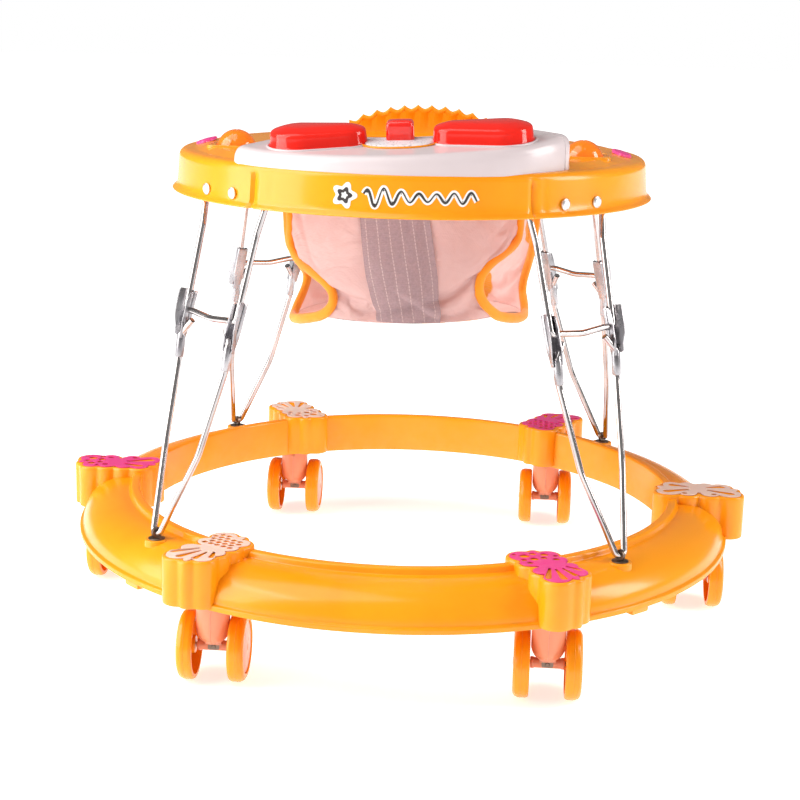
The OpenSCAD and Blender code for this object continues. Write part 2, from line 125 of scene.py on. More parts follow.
def polar(az, radius, z=0.0):
    """Point at an azimuth in degrees, counted from the front towards +X."""
    a = math.radians(az)
    return (radius * math.sin(a), -radius * math.cos(a), z)


def ease(t):
    return t * t * (3 - 2 * t)


def straight_table(table, x):
    """Value between the rows (x, value) of a table, in straight lines."""
    if x <= table[0][0]:
        return table[0][1]
    for (x0, v0), (x1, v1) in zip(table, table[1:]):
        if x <= x1:
            return v0 + (v1 - v0) * (x - x0) / (x1 - x0)
    return table[-1][1]


def smooth_table(table, x, reach=4.0):
    """The same, with its corners eased over a reach."""
    return sum(straight_table(table, x + reach * k) for k in (-1, -0.5, 0, 0.5, 1)) / 5


def mount(o, body, finish_slot, *replaced):
    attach(o, body)
    if replaced:
        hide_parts(*replaced)


class Build:
    """Collects vertices and faces in millimetres and makes one object."""

    def __init__(self):
        self.verts, self.faces, self.slots = [], [], []

    def add(self, verts, faces, matrix=None, slot=0):
        start = len(self.verts)
        for v in verts:
            v = Vector(v)
            self.verts.append(matrix @ v if matrix else v)
        for f in faces:
            self.faces.append([i + start for i in f])
            self.slots.append(slot)

    def rings(self, rings, closed_ring=True, cap_start=False, cap_end=False, closed_path=False,
              matrix=None, slot=0):
        """Joins loops of equal length with quads."""
        n = len(rings[0])
        verts = [p for ring in rings for p in ring]
        faces = []
        count = len(rings)
        for k in range(count if closed_path else count - 1):
            a, b = k * n, ((k + 1) % count) * n
            for i in range(n if closed_ring else n - 1):
                j = (i + 1) % n
                faces.append([a + i, a + j, b + j, b + i])
        if cap_start:
            verts.append(sum((Vector(p) for p in rings[0]), Vector()) / n)
            faces += [[(i + 1) % n, i, len(verts) - 1] for i in range(n)]
        if cap_end:
            verts.append(sum((Vector(p) for p in rings[-1]), Vector()) / n)
            base = (count - 1) * n
            faces += [[base + i, base + (i + 1) % n, len(verts) - 1] for i in range(n)]
        self.add(verts, faces, matrix, slot)

    def lathe(self, profile, segments=96, matrix=None, slot=0, closed=False, warp=None):
        """Turns a profile of (radius, z) about Z. warp may move each point (radius, azimuth, z)."""
        rings = []
        for r, z in profile:
            ring = []
            for i in range(segments):
                a = 2 * math.pi * i / segments
                rr, zz = warp(r, math.degrees(a), z) if warp else (r, z)
                ring.append((rr * math.sin(a), -rr * math.cos(a), zz))
            rings.append(ring)
        self.rings(rings, closed_path=closed, matrix=matrix, slot=slot)

    def tube(self, path, radius, segments=12, closed=False, flat=1.0, matrix=None, slot=0, up=None):
        """A round or flattened tube along points. flat is its thickness across the given up directions."""
        pts = [Vector(p) for p in path]
        n = len(pts)
        rings = []
        side = None
        for k, p in enumerate(pts):
            before = pts[(k - 1) % n] if closed or k else pts[0]
            after = pts[(k + 1) % n] if closed or k < n - 1 else pts[-1]
            t = (after - before).normalized()
            if up is not None:
                b = Vector(up[k]).normalized()
                side = t.cross(b).normalized()
                b = side.cross(t).normalized()
            else:
                if side is None:
                    side = t.orthogonal().normalized()
                side = (side - t * side.dot(t)).normalized()
                b = t.cross(side)
            r = radius[k] if hasattr(radius, "__len__") else radius
            rings.append([p + side * math.cos(2 * math.pi * i / segments) * r
                          + b * math.sin(2 * math.pi * i / segments) * r * flat for i in range(segments)])
        self.rings(rings, closed_path=closed, cap_start=not closed, cap_end=not closed,
                   matrix=matrix, slot=slot)

    def plain(self, name, materials=()):
        """The object alone, with doubled points merged and its faces turned outwards."""
        mesh = bpy.data.meshes.new(name)
        mesh.from_pydata([v * MM for v in self.verts], [], self.faces)
        mesh.polygons.foreach_set("material_index", self.slots)
        for m in materials:
            mesh.materials.append(m)
        bm = bmesh.new()
        bm.from_mesh(mesh)
        bmesh.ops.remove_doubles(bm, verts=bm.verts, dist=MERGE)
        bmesh.ops.recalc_face_normals(bm, faces=bm.faces)
        bm.to_mesh(mesh)
        bm.free()
        return linked(name, mesh)

    def object(self, name, materials, body, finish_slot, replaces=(), smooth=35, bevel=0.0, subsurf=0):
        """A piece on its body. smooth is the angle in degrees up to which edges are shaded round."""
        o = self.plain(name, materials)
        if bevel:
            b = o.modifiers.new("bevel", "BEVEL")
            b.width, b.segments, b.limit_method, b.angle_limit = bevel * MM, 2, "ANGLE", math.radians(32)
            apply_modifiers(o)
        if subsurf:
            s = o.modifiers.new("subsurf", "SUBSURF")
            s.levels = s.render_levels = subsurf
            apply_modifiers(o)
        shade(o, smooth)
        mount(o, body, finish_slot, *replaces)
        return o


def apply_modifiers(o):
    bpy.context.view_layer.update()
    evaluated = o.evaluated_get(bpy.context.evaluated_depsgraph_get())
    mesh = bpy.data.meshes.new_from_object(evaluated)
    o.modifiers.clear()
    old = o.data
    o.data = mesh
    bpy.data.meshes.remove(old)


def shade(o, angle):
    o.data.shade_smooth()
    if angle < 180:
        o.data.set_sharp_from_angle(angle=math.radians(angle))


def arc(cx, cy, r, a0, a1, steps):
    """Points on an arc, in degrees."""
    return [(cx + r * math.cos(math.radians(a0 + (a1 - a0) * i / steps)),
             cy + r * math.sin(math.radians(a0 + (a1 - a0) * i / steps))) for i in range(steps + 1)]


def rounded(points, radii, steps=5):
    """A polyline with its corners rounded off."""
    out = []
    for i, p in enumerate(points):
        r = radii[i]
        if r <= 0 or i in (0, len(points) - 1):
            out.append(tuple(p))
            continue
        p = Vector(p)
        a = (Vector(points[i - 1]) - p)
        b = (Vector(points[i + 1]) - p)
        half = a.angle(b) / 2
        cut = min(r / max(math.tan(half), 1e-3), a.length * 0.49, b.length * 0.49)
        p0, p1 = p + a.normalized() * cut, p + b.normalized() * cut
        for k in range(steps + 1):
            t = k / steps
            out.append(tuple(p0 * (1 - t) ** 2 + p * 2 * t * (1 - t) + p1 * t * t))
    return out


def rounded_box(hx, hy, r, steps=5):
    points = []
    corners = ((hx - r, hy - r, 0), (-hx + r, hy - r, 90), (-hx + r, -hy + r, 180), (hx - r, -hy + r, 270))
    for cx, cy, start in corners:
        points += arc(cx, cy, r, start, start + 90, steps)
    return points


# ---------- materials ----------

class Tree:
    """Short ways to add nodes to a tree."""

    def __init__(self, owner):
        owner.use_nodes = True
        self.tree = owner.node_tree
        self.tree.nodes.clear()

    def new(self, kind, inputs=None, **settings):
        """A node with its settings. An input is a value or the output of another node."""
        node = self.tree.nodes.new(kind)
        for key, value in settings.items():
            setattr(node, key, value)
        for key, value in (inputs or {}).items():
            if isinstance(value, bpy.types.NodeSocket):
                self.link(value, node.inputs[key])
            else:
                node.inputs[key].default_value = value
        return node

    def link(self, a, b):
        self.tree.links.new(a, b)

    def ramp(self, value, stops):
        node = self.new("ShaderNodeValToRGB", {"Fac": value})
        for element, (position, colour) in zip(node.color_ramp.elements, stops):
            element.position = position
            element.color = (*colour, 1)
        return node.outputs["Color"]


class Nodes(Tree):
    """A material's nodes, round one Principled shader."""

    def __init__(self, name):
        self.material = bpy.data.materials.new(name)
        super().__init__(self.material)
        self.out = self.new("ShaderNodeOutputMaterial")
        self.shader = self.new("ShaderNodeBsdfPrincipled")
        self.link(self.shader.outputs["BSDF"], self.out.inputs["Surface"])
        self.coords = self.new("ShaderNodeTexCoord").outputs["Object"]

    def set(self, **values):
        for key, value in values.items():
            self.shader.inputs[key.replace("_", " ")].default_value = value

    def noise(self, scale, detail=3, roughness=0.5, stretch=None, distortion=0.0):
        vector = self.coords
        if stretch:
            vector = self.new("ShaderNodeMapping", {"Scale": stretch, "Vector": vector}).outputs["Vector"]
        return self.new("ShaderNodeTexNoise", {"Scale": scale, "Detail": detail, "Roughness": roughness,
                                               "Distortion": distortion, "Vector": vector}).outputs["Fac"]

    def wave(self, scale, direction, distortion):
        return self.new("ShaderNodeTexWave", {"Scale": scale, "Distortion": distortion, "Vector": self.coords},
                        wave_type="BANDS", bands_direction=direction).outputs["Fac"]

    def math(self, operation, *values):
        return self.new("ShaderNodeMath", dict(enumerate(values)), operation=operation).outputs[0]

    def mix(self, factor, a, b):
        a, b = ((*c, 1) if isinstance(c, tuple) else c for c in (a, b))
        return self.new("ShaderNodeMix", {0: factor, 6: a, 7: b}, data_type="RGBA").outputs[2]

    def bump(self, height, strength, distance):
        """Adds a bump on top of the ones that are there."""
        node = self.new("ShaderNodeBump", {"Strength": strength, "Distance": distance, "Height": height})
        normal = self.shader.inputs["Normal"]
        if normal.links:
            self.link(normal.links[0].from_socket, node.inputs["Normal"])
        self.link(node.outputs["Normal"], normal)

    def colour(self, value):
        self.link(value, self.shader.inputs["Base Color"])

    def roughness(self, value, low, high):
        node = self.new("ShaderNodeMapRange", {"To Min": low, "To Max": high, "Value": value})
        self.link(node.outputs["Result"], self.shader.inputs["Roughness"])

    def wear(self, colour, paler, amount):
        """Paler on convex edges, where a moulding is rubbed."""
        edge = self.ramp(self.new("ShaderNodeNewGeometry").outputs["Pointiness"],
                         [(0.52, (0, 0, 0)), (0.62, (1, 1, 1))])
        patchy = self.math("MULTIPLY", edge, self.noise(90, 4, 0.6))
        return self.mix(self.math("MULTIPLY", patchy, amount), colour, paler)


PLASTIC_IOR = 1.49


def plastic(name, base, deep, pale, roughness=(0.16, 0.3), subsurface=0.06, radius=(1.0, 0.35, 0.08), coat=0.25,
            grain=0.12):
    """Injection-moulded plastic: faint flow marks, fine grain, a little light inside, rubbed edges."""
    m = Nodes(name)
    flow = m.noise(5.5, 4, 0.55, distortion=0.6)
    colour = m.ramp(flow, [(0.3, deep), (0.62, base)])
    specks = m.ramp(m.noise(420, 2, 0.5), [(0.34, (1, 1, 1)), (0.42, (0, 0, 0))])
    colour = m.mix(m.math("MULTIPLY", specks, 0.05), colour, deep)
    m.colour(m.wear(colour, pale, 0.35))
    m.roughness(m.noise(38, 5, 0.62), *roughness)
    m.bump(m.noise(900, 2, 0.5), grain, 0.00004)
    m.bump(m.noise(16, 3, 0.5), 0.25, 0.0004)
    m.set(Specular_IOR_Level=0.38, Coat_Weight=coat, Coat_Roughness=0.08, Subsurface_Weight=subsurface,
          Subsurface_Radius=radius, Subsurface_Scale=0.012, IOR=PLASTIC_IOR)
    return m.material


def metal(name, colour, dark, roughness, scratch, stretch=(1, 1, 0.08), bumpy=0.1):
    """Steel with cloudy stains and fine scratches."""
    m = Nodes(name)
    stain = m.noise(34, 4, 0.6)
    m.colour(m.ramp(stain, [(0.32, dark), (0.6, colour)]))
    lines = m.noise(260, 3, 0.7, stretch=stretch)
    m.roughness(lines, *roughness)
    m.bump(lines, bumpy, 0.00004 * scratch)
    m.set(Metallic=1.0)
    return m.material


def cloth(name, base, deep, weave=1400, sheen=0.3, translucent=0.0, extra=None, wrinkles=0.0):
    """Woven cloth. extra may add a print to its colour."""
    m = Nodes(name)
    warp = m.wave(weave / 6.28, "DIAGONAL", 0.4)
    weft = m.wave(weave / 6.28, "Z", 0.4)
    height = m.math("ADD", warp, weft)
    cloudy = m.noise(22, 4, 0.6)
    colour = m.ramp(cloudy, [(0.3, deep), (0.68, base)])
    if extra:
        colour = extra(m, colour)
    # Painted shade: the cloth is a little darker in the gaps between its threads.
    painted_gap_shade = m.math("SUBTRACT", 1.0, m.math("MULTIPLY", height, 0.5))
    colour = m.mix(m.math("MULTIPLY", painted_gap_shade, 0.13), colour, deep)
    m.colour(colour)
    m.roughness(cloudy, 0.72, 0.92)
    m.bump(height, 0.35, 0.00012)
    m.bump(m.noise(60, 4, 0.6), 0.3, 0.0008)
    if wrinkles:
        m.bump(m.noise(20, 5, 0.55, (1, 1, 1.5), 1.6), wrinkles, 0.004)
    m.set(Sheen_Weight=sheen, Sheen_Roughness=0.5, Specular_IOR_Level=0.25)
    if translucent:
        thin = m.new("ShaderNodeBsdfTranslucent", {"Color": colour})
        both = m.new("ShaderNodeMixShader", {"Fac": translucent, 1: m.shader.outputs["BSDF"],
                                             2: thin.outputs["BSDF"]})
        m.link(both.outputs["Shader"], m.out.inputs["Surface"])
    return m.material


YELLOW = plastic("yellow_plastic", (0.98, 0.35, 0.006), (0.95, 0.28, 0.003), (1.0, 0.58, 0.18), (0.17, 0.3),
                 coat=0.1, grain=0.05)
WHITE = plastic("white_plastic", (0.68, 0.60, 0.615), (0.64, 0.55, 0.565), (0.85, 0.80, 0.81), (0.16, 0.28),
                0.05, (1.0, 0.8, 0.7), coat=0.15)
RED = plastic("red_plastic", (0.84, 0.022, 0.012), (0.76, 0.014, 0.008), (0.95, 0.10, 0.06), (0.07, 0.14), 0.03,
              coat=0.0, grain=0.02)
CREAM = plastic("cream_plastic", (0.88, 0.66, 0.57), (0.84, 0.58, 0.48), (0.96, 0.8, 0.74), (0.3, 0.45))
PINK = plastic("pink_plastic", (0.86, 0.055, 0.30), (0.80, 0.035, 0.24), (0.95, 0.35, 0.55), (0.25, 0.4))
PEACH = plastic("peach_plastic", (0.90, 0.37, 0.21), (0.84, 0.29, 0.15), (1.0, 0.72, 0.6), (0.22, 0.36),
                0.2, (1.0, 0.5, 0.3), coat=0.15)


def translucent_plastic(name, base, deep, glow, strength):
    """Tinted see-through plastic; its glow is painted light, an emission that stands for light gathered inside
    it.
    """
    m = Nodes(name)
    m.colour(m.ramp(m.noise(70, 3, 0.5), [(0.3, deep), (0.65, base)]))
    m.roughness(m.noise(130, 4, 0.6), 0.06, 0.16)
    m.bump(m.noise(45, 3, 0.5), 0.2, 0.0002)
    m.set(Emission_Color=(*glow, 1), Emission_Strength=strength, Transmission_Weight=0.3, Coat_Weight=0.4,
          Coat_Roughness=0.05, IOR=PLASTIC_IOR, Subsurface_Weight=0.1, Subsurface_Radius=(1.0, 0.3, 0.05),
          Subsurface_Scale=0.01)
    return m.material


# Both see-through plastics glow a little: painted light, standing for light gathered inside them.
AMBER = translucent_plastic("amber_plastic", (1.0, 0.30, 0.008), (1.0, 0.23, 0.005), (1.0, 0.28, 0.01), 0.12)
CLEAR_RED = translucent_plastic("clear_red_plastic", (0.95, 0.025, 0.014), (0.9, 0.016, 0.008),
                                (0.9, 0.01, 0.005), 0.08)
WIRE = metal("wire_chrome", (0.60, 0.57, 0.57), (0.44, 0.41, 0.41), (0.06, 0.16), 0.5)
CLIP = metal("clip_steel", (0.50, 0.49, 0.51), (0.27, 0.26, 0.28), (0.20, 0.38), 2.0, (1, 1, 1), 0.3)
DARK_STEEL = metal("dark_steel", (0.26, 0.20, 0.16), (0.12, 0.09, 0.07), (0.25, 0.5), 2.0, (1, 1, 1), 0.3)
RIVET = metal("rivet_steel", (0.80, 0.79, 0.80), (0.60, 0.58, 0.59), (0.3, 0.45), 1.0, (1, 1, 1), 0.2)


def speckled(name):
    """The grille between the drums: white plastic with fine grey dots."""
    m = Nodes(name)
    cells = m.new("ShaderNodeTexVoronoi", {"Scale": 420, "Vector": m.coords})
    dots = m.ramp(cells.outputs["Distance"], [(0.22, (1, 1, 1)), (0.34, (0, 0, 0))])
    patch = m.ramp(m.noise(120, 2), [(0.36, (0, 0, 0)), (0.5, (1, 1, 1))])
    m.colour(m.mix(m.math("MULTIPLY", dots, patch), (0.80, 0.77, 0.79), (0.30, 0.30, 0.34)))
    m.roughness(m.noise(300, 2), 0.3, 0.5)
    m.bump(dots, 0.6, -0.0004)
    return m.material


GRILLE = speckled("grille_plastic")


def printed(m, colour):
    """Loose blobs in two colours, as a generic nursery print."""
    warped = m.new("ShaderNodeTexNoise", {"Scale": 24, "Detail": 1.5, "Vector": m.coords})
    where = m.new("ShaderNodeVectorMath", {0: warped.outputs["Color"], 1: (0.03, 0.03, 0.03), 2: m.coords},
                  operation="MULTIPLY_ADD")
    spots = m.new("ShaderNodeTexVoronoi", {"Scale": 26, "Vector": where.outputs["Vector"]})
    blob = m.ramp(spots.outputs["Distance"], [(0.38, (1, 1, 1)), (0.41, (0, 0, 0))])
    pick = m.new("ShaderNodeSeparateColor", {"Color": spots.outputs["Color"]})
    grey = m.math("MULTIPLY", blob, m.math("GREATER_THAN", pick.outputs[0], 0.62))
    warm = m.math("MULTIPLY", blob, m.math("LESS_THAN", pick.outputs[0], 0.3))
    colour = m.mix(grey, colour, (0.33, 0.27, 0.23))
    return m.mix(warm, colour, (0.90, 0.47, 0.05))


SEAT = cloth("seat_cloth", (0.87, 0.655, 0.635), (0.80, 0.565, 0.55), translucent=0.35, wrinkles=0.8)
SEAT_PRINT = cloth("seat_cloth_print", (0.97, 0.80, 0.78), (0.92, 0.72, 0.69), translucent=0.5, extra=printed,
                   wrinkles=0.5)
PIPING = cloth("piping", (0.98, 0.36, 0.02), (0.90, 0.27, 0.01), weave=1800, sheen=0.35)


def webbing(name):
    """Grey elastic webbing with pale stitched lines along it. The lines follow the piece's UV across."""
    m = Nodes(name)
    uv = m.new("ShaderNodeUVMap", uv_map="across").outputs["UV"]
    across = m.new("ShaderNodeSeparateXYZ", {"Vector": uv})
    u, v = across.outputs["X"], across.outputs["Y"]
    line = m.math("ABSOLUTE", m.math("SUBTRACT", m.math("FRACT", m.math("MULTIPLY", u, 6.0)), 0.5))
    line = m.ramp(line, [(0.02, (1, 1, 1)), (0.06, (0, 0, 0))])
    stitches = m.math("FRACT", m.math("MULTIPLY", v, 42.0))
    dashes = m.ramp(stitches, [(0.60, (1, 1, 1)), (0.72, (0.25, 0.25, 0.25))])
    thread = m.math("MULTIPLY", line, dashes)
    fleck = m.noise(520, 3, 0.7)
    base = m.ramp(fleck, [(0.30, (0.32, 0.225, 0.245)), (0.72, (0.43, 0.30, 0.315))])
    m.colour(m.mix(m.math("MULTIPLY", thread, 0.6), base, (0.72, 0.56, 0.55)))
    m.roughness(fleck, 0.7, 0.95)
    m.bump(m.wave(210, "Z", 1.2), 0.4, 0.0003)
    m.bump(m.math("SUBTRACT", 1.0, line), 0.35, 0.0004)
    m.set(Sheen_Weight=0.35, Specular_IOR_Level=0.2)
    return m.material


WEBBING = webbing("webbing")
DECAL_WHITE = plastic("decal_white", (0.90, 0.88, 0.87), (0.86, 0.84, 0.83), (0.95, 0.95, 0.95), (0.2, 0.3), 0.0,
                      coat=0.4, grain=0.04)
DECAL_DARK = plastic("decal_dark", (0.03, 0.02, 0.02), (0.015, 0.01, 0.01), (0.2, 0.2, 0.2), (0.2, 0.3), 0.0,
                     coat=0.4, grain=0.04)


# ---------- base ring and its pods ----------

RING_OUT, RING_IN, RING_TOP, RING_LOW = 291.0, 238.0, 108.0, 71.0
# Middle of the ring's rounded slope, with its radii outside and inside the wall
SLOPE_R, SLOPE_Z, SLOPE_OUTSIDE, SLOPE_INSIDE = 252, 76, (36, 27), (33.5, 24.5)
CASTER_R, POD_TOP, POD_LOW = 265.0, 111.0, 73.0
POD_LOBES = ((-11, 27, 13.5), (-14, 10, 11), (9, 22, 11.5), (10, 8, 10.5), (2, 33, 6))
POD_CORE = (15.0, 26.0)
LEG_EYE_R, KNEE_R, KNEE_Z, EYE_Z = 264.3, 211.3, 280.7, 108.0
LEG_LEAN = math.atan2(LEG_EYE_R - KNEE_R, KNEE_Z - EYE_Z)
CHANNEL_X = 35.3


def union_radius(lobes, angle, inset, soft):
    """Distance from the middle to the outline of a soft union of circles, along an angle."""
    d = Vector((math.cos(angle), math.sin(angle)))
    step, far = 0.75, 60.0

    def inside(r):
        p = d * r
        total = sum(math.exp(-((p - Vector((x, s * y))).length - c) / soft) for x, y, c in lobes for s in SIDES)
        total += math.exp(-max(abs(p.x) - POD_CORE[0], abs(p.y) - POD_CORE[1]) / soft)
        return -soft * math.log(total) < -inset
    low = next(r for r in (far - step * k for k in range(1, 81)) if inside(r))
    high = low + step
    for _ in range(12):
        mid = (low + high) / 2
        low, high = (mid, high) if inside(mid) else (low, mid)
    return low


def outline(lobes, inset, soft, count=168):
    return [(union_radius(lobes, 2 * math.pi * i / count, inset, soft), 2 * math.pi * i / count)
            for i in range(count)]


def polar_ring(shape, z):
    return [(r * math.cos(a), r * math.sin(a), z) for r, a in shape]


def ring_moulding():
    """The hollow ring with its lip, six caster pods with their sockets, and a boss and a foot for each leg."""
    b = Build()

    def slope_arc(radii, angles):
        return [(SLOPE_R + radii[0] * math.sin(t), SLOPE_Z + radii[1] * math.cos(t))
                for t in (math.radians(angle) for angle in angles)]
    outside = rounded([(RING_IN, RING_LOW), (RING_IN, RING_TOP), (RING_IN + 7.6, RING_TOP),
                       (RING_IN + 9.2, 102.8), (RING_IN + 14, 103)], [0, 2.4, 2.4, 1.4, 0])
    lip = rounded([(288, 77.5), (288.2, 76.3), (RING_OUT, 75.2), (RING_OUT, RING_LOW), (288.5, RING_LOW)],
                  [0, 0.9, 1.3, 0.8, 0])
    inside = [(288.5, 73.4)] + slope_arc(SLOPE_INSIDE, range(90, -1, -10)) + [
        (247, 100.5), (245, 105.5), (240.5, 105.5), (240.5, RING_LOW)]
    profile = outside + slope_arc(SLOPE_OUTSIDE, range(5, 90, 5)) + lip + inside
    b.lathe(profile, segments=360, closed=True,
            warp=lambda r, az, z: (r + 0.25 * noise.noise(Vector((az / 9, z / 60, 3))), z))
    levels = [(2.5, 107.5), (2.5, POD_LOW), (1.1, POD_LOW - 0.6), (0.35, POD_LOW - 0.2), (0, POD_LOW + 1),
              (0, 84), (0, 97), (0, POD_TOP - 2), (0.35, POD_TOP - 0.8), (1.1, POD_TOP), (2.2, POD_TOP + 0.2),
              (2.9, POD_TOP), (3.3, POD_TOP - 0.3), (3.7, POD_TOP - 0.5)]
    shapes = {inset: outline(POD_LOBES, inset, 1.1) for inset in {inset for inset, _ in levels}}
    for az in CASTER_AZ:
        at = place(az, CASTER_R)
        b.rings([polar_ring(shapes[i], z) for i, z in levels], cap_start=True, cap_end=True, matrix=at)
        b.lathe(rounded([(5.05, 70), (9, 70), (9, 108)], [0, 0.8, 0]), segments=48, matrix=at)
        b.lathe([(5.05, 103), (5.05, 70)], segments=48, matrix=at)
    for az in LEG_AZ:
        b.lathe(rounded([(2.4, 92), (2.4, 102.55), (9.5, 102.55), (10.5, 95)], [0, 0, 0.8, 0]), segments=48,
                matrix=place(az, LEG_EYE_R))
        block = [(-9, -7), (9, -7), (9, 7), (-9, 7)]
        b.rings([[(x * s, y * s, z) for x, y in block] for s, z in ((1.0, 74.5), (1.0, 67), (0.93, 66))],
                cap_start=True, cap_end=True, matrix=place(az, 281.5))
    b.object("base_ring_moulding", [YELLOW], "base", "yellow_plastic", ["base_ring"], smooth=38)


# ---------- butterfly plates ----------

PLATE_INSET = 3.3


def teardrop(x, y, r0, r1, length, turn):
    """A slot that widens from r0 to r1 along its length."""
    return [(x + px * math.cos(turn) - py * math.sin(turn), y + px * math.sin(turn) + py * math.cos(turn))
            for px, py in arc(0, 0, r0, 100, 260, 7) + arc(length, 0, r1, -80, 80, 9)]


def wing_slots():
    return [teardrop(-7, 8, 1.5, 3.1, 21, math.radians(124)), teardrop(-3, 11, 1.2, 3.3, 20, math.radians(103)),
            teardrop(3, 11, 1.2, 3.0, 16, math.radians(84)), teardrop(8, 8, 1.2, 2.8, 11, math.radians(60))]


def wing_rounds():
    spots = ((-10, 25.5, 4.3), (-1.3, 28, 3.2), (6.3, 23, 3.5), (-6.5, 16.3, 3.7), (-15.3, 17.5, 3.0),
             (-16, 32, 2.2), (12.8, 16.5, 2.6), (2, 16, 3.0), (9.3, 9.5, 2.9), (-14, 9.5, 2.8))
    return [[(x + px, y + py) for px, py in arc(0, 0, r, 0, 345, 23)] for x, y, r in spots]


def wing_cells():
    limit = outline(POD_LOBES, PLATE_INSET + 1.2, 0.8, 120)
    cells = []
    for row in range(6):
        for column in range(-4, 5):
            x, y = column * 6.4 + (3.2 if row % 2 else 0) - 2, 7.5 + row * 5.6
            edge = limit[int(round(math.atan2(y, x) % (2 * math.pi) / (2 * math.pi) * 120)) % 120][0]
            if math.hypot(x, y) + 2.6 < edge:
                cells.append([(x + px, y + py) for px, py in arc(0, 0, 2.75, 0, 330, 11)])
    return cells


def wing_ovals():
    return [teardrop(-4, 9, 2.0, 4.6, 20, math.radians(112)), teardrop(5, 9, 1.8, 4.2, 13, math.radians(74)),
            [(-16 + px, 13 + py) for px, py in arc(0, 0, 3.0, 0, 345, 23)]]


PATTERNS = {"slots": wing_slots, "round": wing_rounds, "cells": wing_cells, "ovals": wing_ovals}


def plate(name, az, material, finish, replaced, patterns):
    """A thin two-winged plate with slots and holes, as a filled outline with rounded edges."""
    curve = bpy.data.curves.new(name, "CURVE")
    curve.dimensions = "2D"
    curve.fill_mode = "BOTH"
    curve.extrude, curve.bevel_depth, curve.bevel_resolution = 0.15 * MM, 0.3 * MM, 3
    curve.offset = -0.2 * MM

    def loop(points):
        spline = curve.splines.new("POLY")
        spline.points.add(len(points) - 1)
        for p, co in zip(spline.points, points):
            p.co = (co[0] * MM, co[1] * MM, 0, 1)
        spline.use_cyclic_u = True
    loop([(r * math.cos(a), r * math.sin(a)) for r, a in outline(POD_LOBES, PLATE_INSET, 0.8, 150)])
    for side, kind in zip(SIDES, patterns):
        for hole in PATTERNS[kind]():
            loop([(x, side * y) for x, y in hole])
    shell = linked(name, curve)
    bpy.context.view_layer.update()
    mesh = bpy.data.meshes.new_from_object(shell.evaluated_get(bpy.context.evaluated_depsgraph_get()))
    bpy.data.objects.remove(shell)
    for v in mesh.vertices:
        v.co.z += MM * (POD_TOP + 0.5 - 0.4 * min(1.0, (v.co.y / MM / 34) ** 2))
        v.co.z += 0.2 * MM * noise.noise(v.co / MM * 0.12)
    mesh.transform(place(az, CASTER_R * MM))
    mesh.materials.clear()
    mesh.materials.append(material)
    o = linked(name, mesh)
    shade(o, 45)
    mount(o, "base", finish, replaced)


# Which pattern each plate's outer and inner wings carry
PLATE_PATTERNS = (("slots", "cells"), ("slots", "round"), ("ovals", "ovals"),
                  ("slots", "cells"), ("slots", "round"), ("round", "ovals"))


def plates():
    finishes = ((CREAM, "cream_plastic", "butterfly_plates_cream"),
                (PINK, "pink_plastic", "butterfly_plates_pink"))
    for k, az in enumerate(CASTER_AZ):
        plate(f"wing_plate_{k + 1}", az, *finishes[k % 2], PLATE_PATTERNS[k])


# ---------- casters ----------

WHEEL_R, WHEEL_W, WHEEL_GAP, TRAIL = 28.0, 13.0, 41.0, 6.0
HUB_Z, HUB_R = 45.5, 13.5


def caster_copies(shape, part, body, finish_slot, offset):
    """The same mesh at all six casters. part and body are patterns of names, numbered from 1."""
    for k, az in enumerate(CASTER_AZ, 1):
        o = shape if k == 1 else linked(part.format(k) + "_detail", shape.data)
        o.matrix_world = Matrix.Translation((Vector(polar(az, CASTER_R)) + Vector(offset)) * MM)
        mount(o, body.format(k), finish_slot, part.format(k))


def wheels():
    """One wheel mesh for each side, used by all six casters."""
    h = WHEEL_W / 2
    r = WHEEL_R
    rim = rounded([(r - 4.2, -h), (r - 0.9, -h), (r, -h + 2.4), (r, h - 4.6), (r - 1.2, h - 1.8),
                   (r - 3.6, h - 0.3), (r - 6.6, h), (r - 6.9, h - 2.2), (3, h - 2.2)],
                  [0, 1.3, 1.4, 2.5, 2.0, 2.0, 0.6, 0.5, 0], 4)
    back = rounded([(2.05, -h + 1), (7, -h + 1), (7, h - 5), (r - 4.2, h - 5), (r - 4.2, -h)],
                   [0, 0.7, 0.7, 1.0, 0], 3)
    seam = [(r, -0.25), (r + 0.28, 0.0), (r, 0.25)]
    cap = [(0.02, h + 0.1), (6, h), (12, h - 0.35), (r - 8.6, h - 0.9), (r - 7.4, h - 1.4), (r - 7.1, h - 2.1)]
    nub = [(0.02, h + 0.45), (2.2, h + 0.4), (3, h + 0.1), (3.3, h - 0.3)]
    for side, word in zip(SIDES, WORDS):
        turn = rotation(90 * side, "Y")
        b = Build()
        b.lathe(back + rim, matrix=turn)
        b.lathe(seam, matrix=turn)
        b.lathe(cap, matrix=turn, slot=1)
        b.lathe(nub, segments=32, matrix=turn, slot=1)
        part = "caster_{}_wheel_" + word
        shape = b.plain(part.format(1) + "_detail", [YELLOW, PEACH])
        shade(shape, 40)
        caster_copies(shape, part, "wheel_{}_" + word, "yellow_plastic", (side * WHEEL_GAP / 2, TRAIL, WHEEL_R))


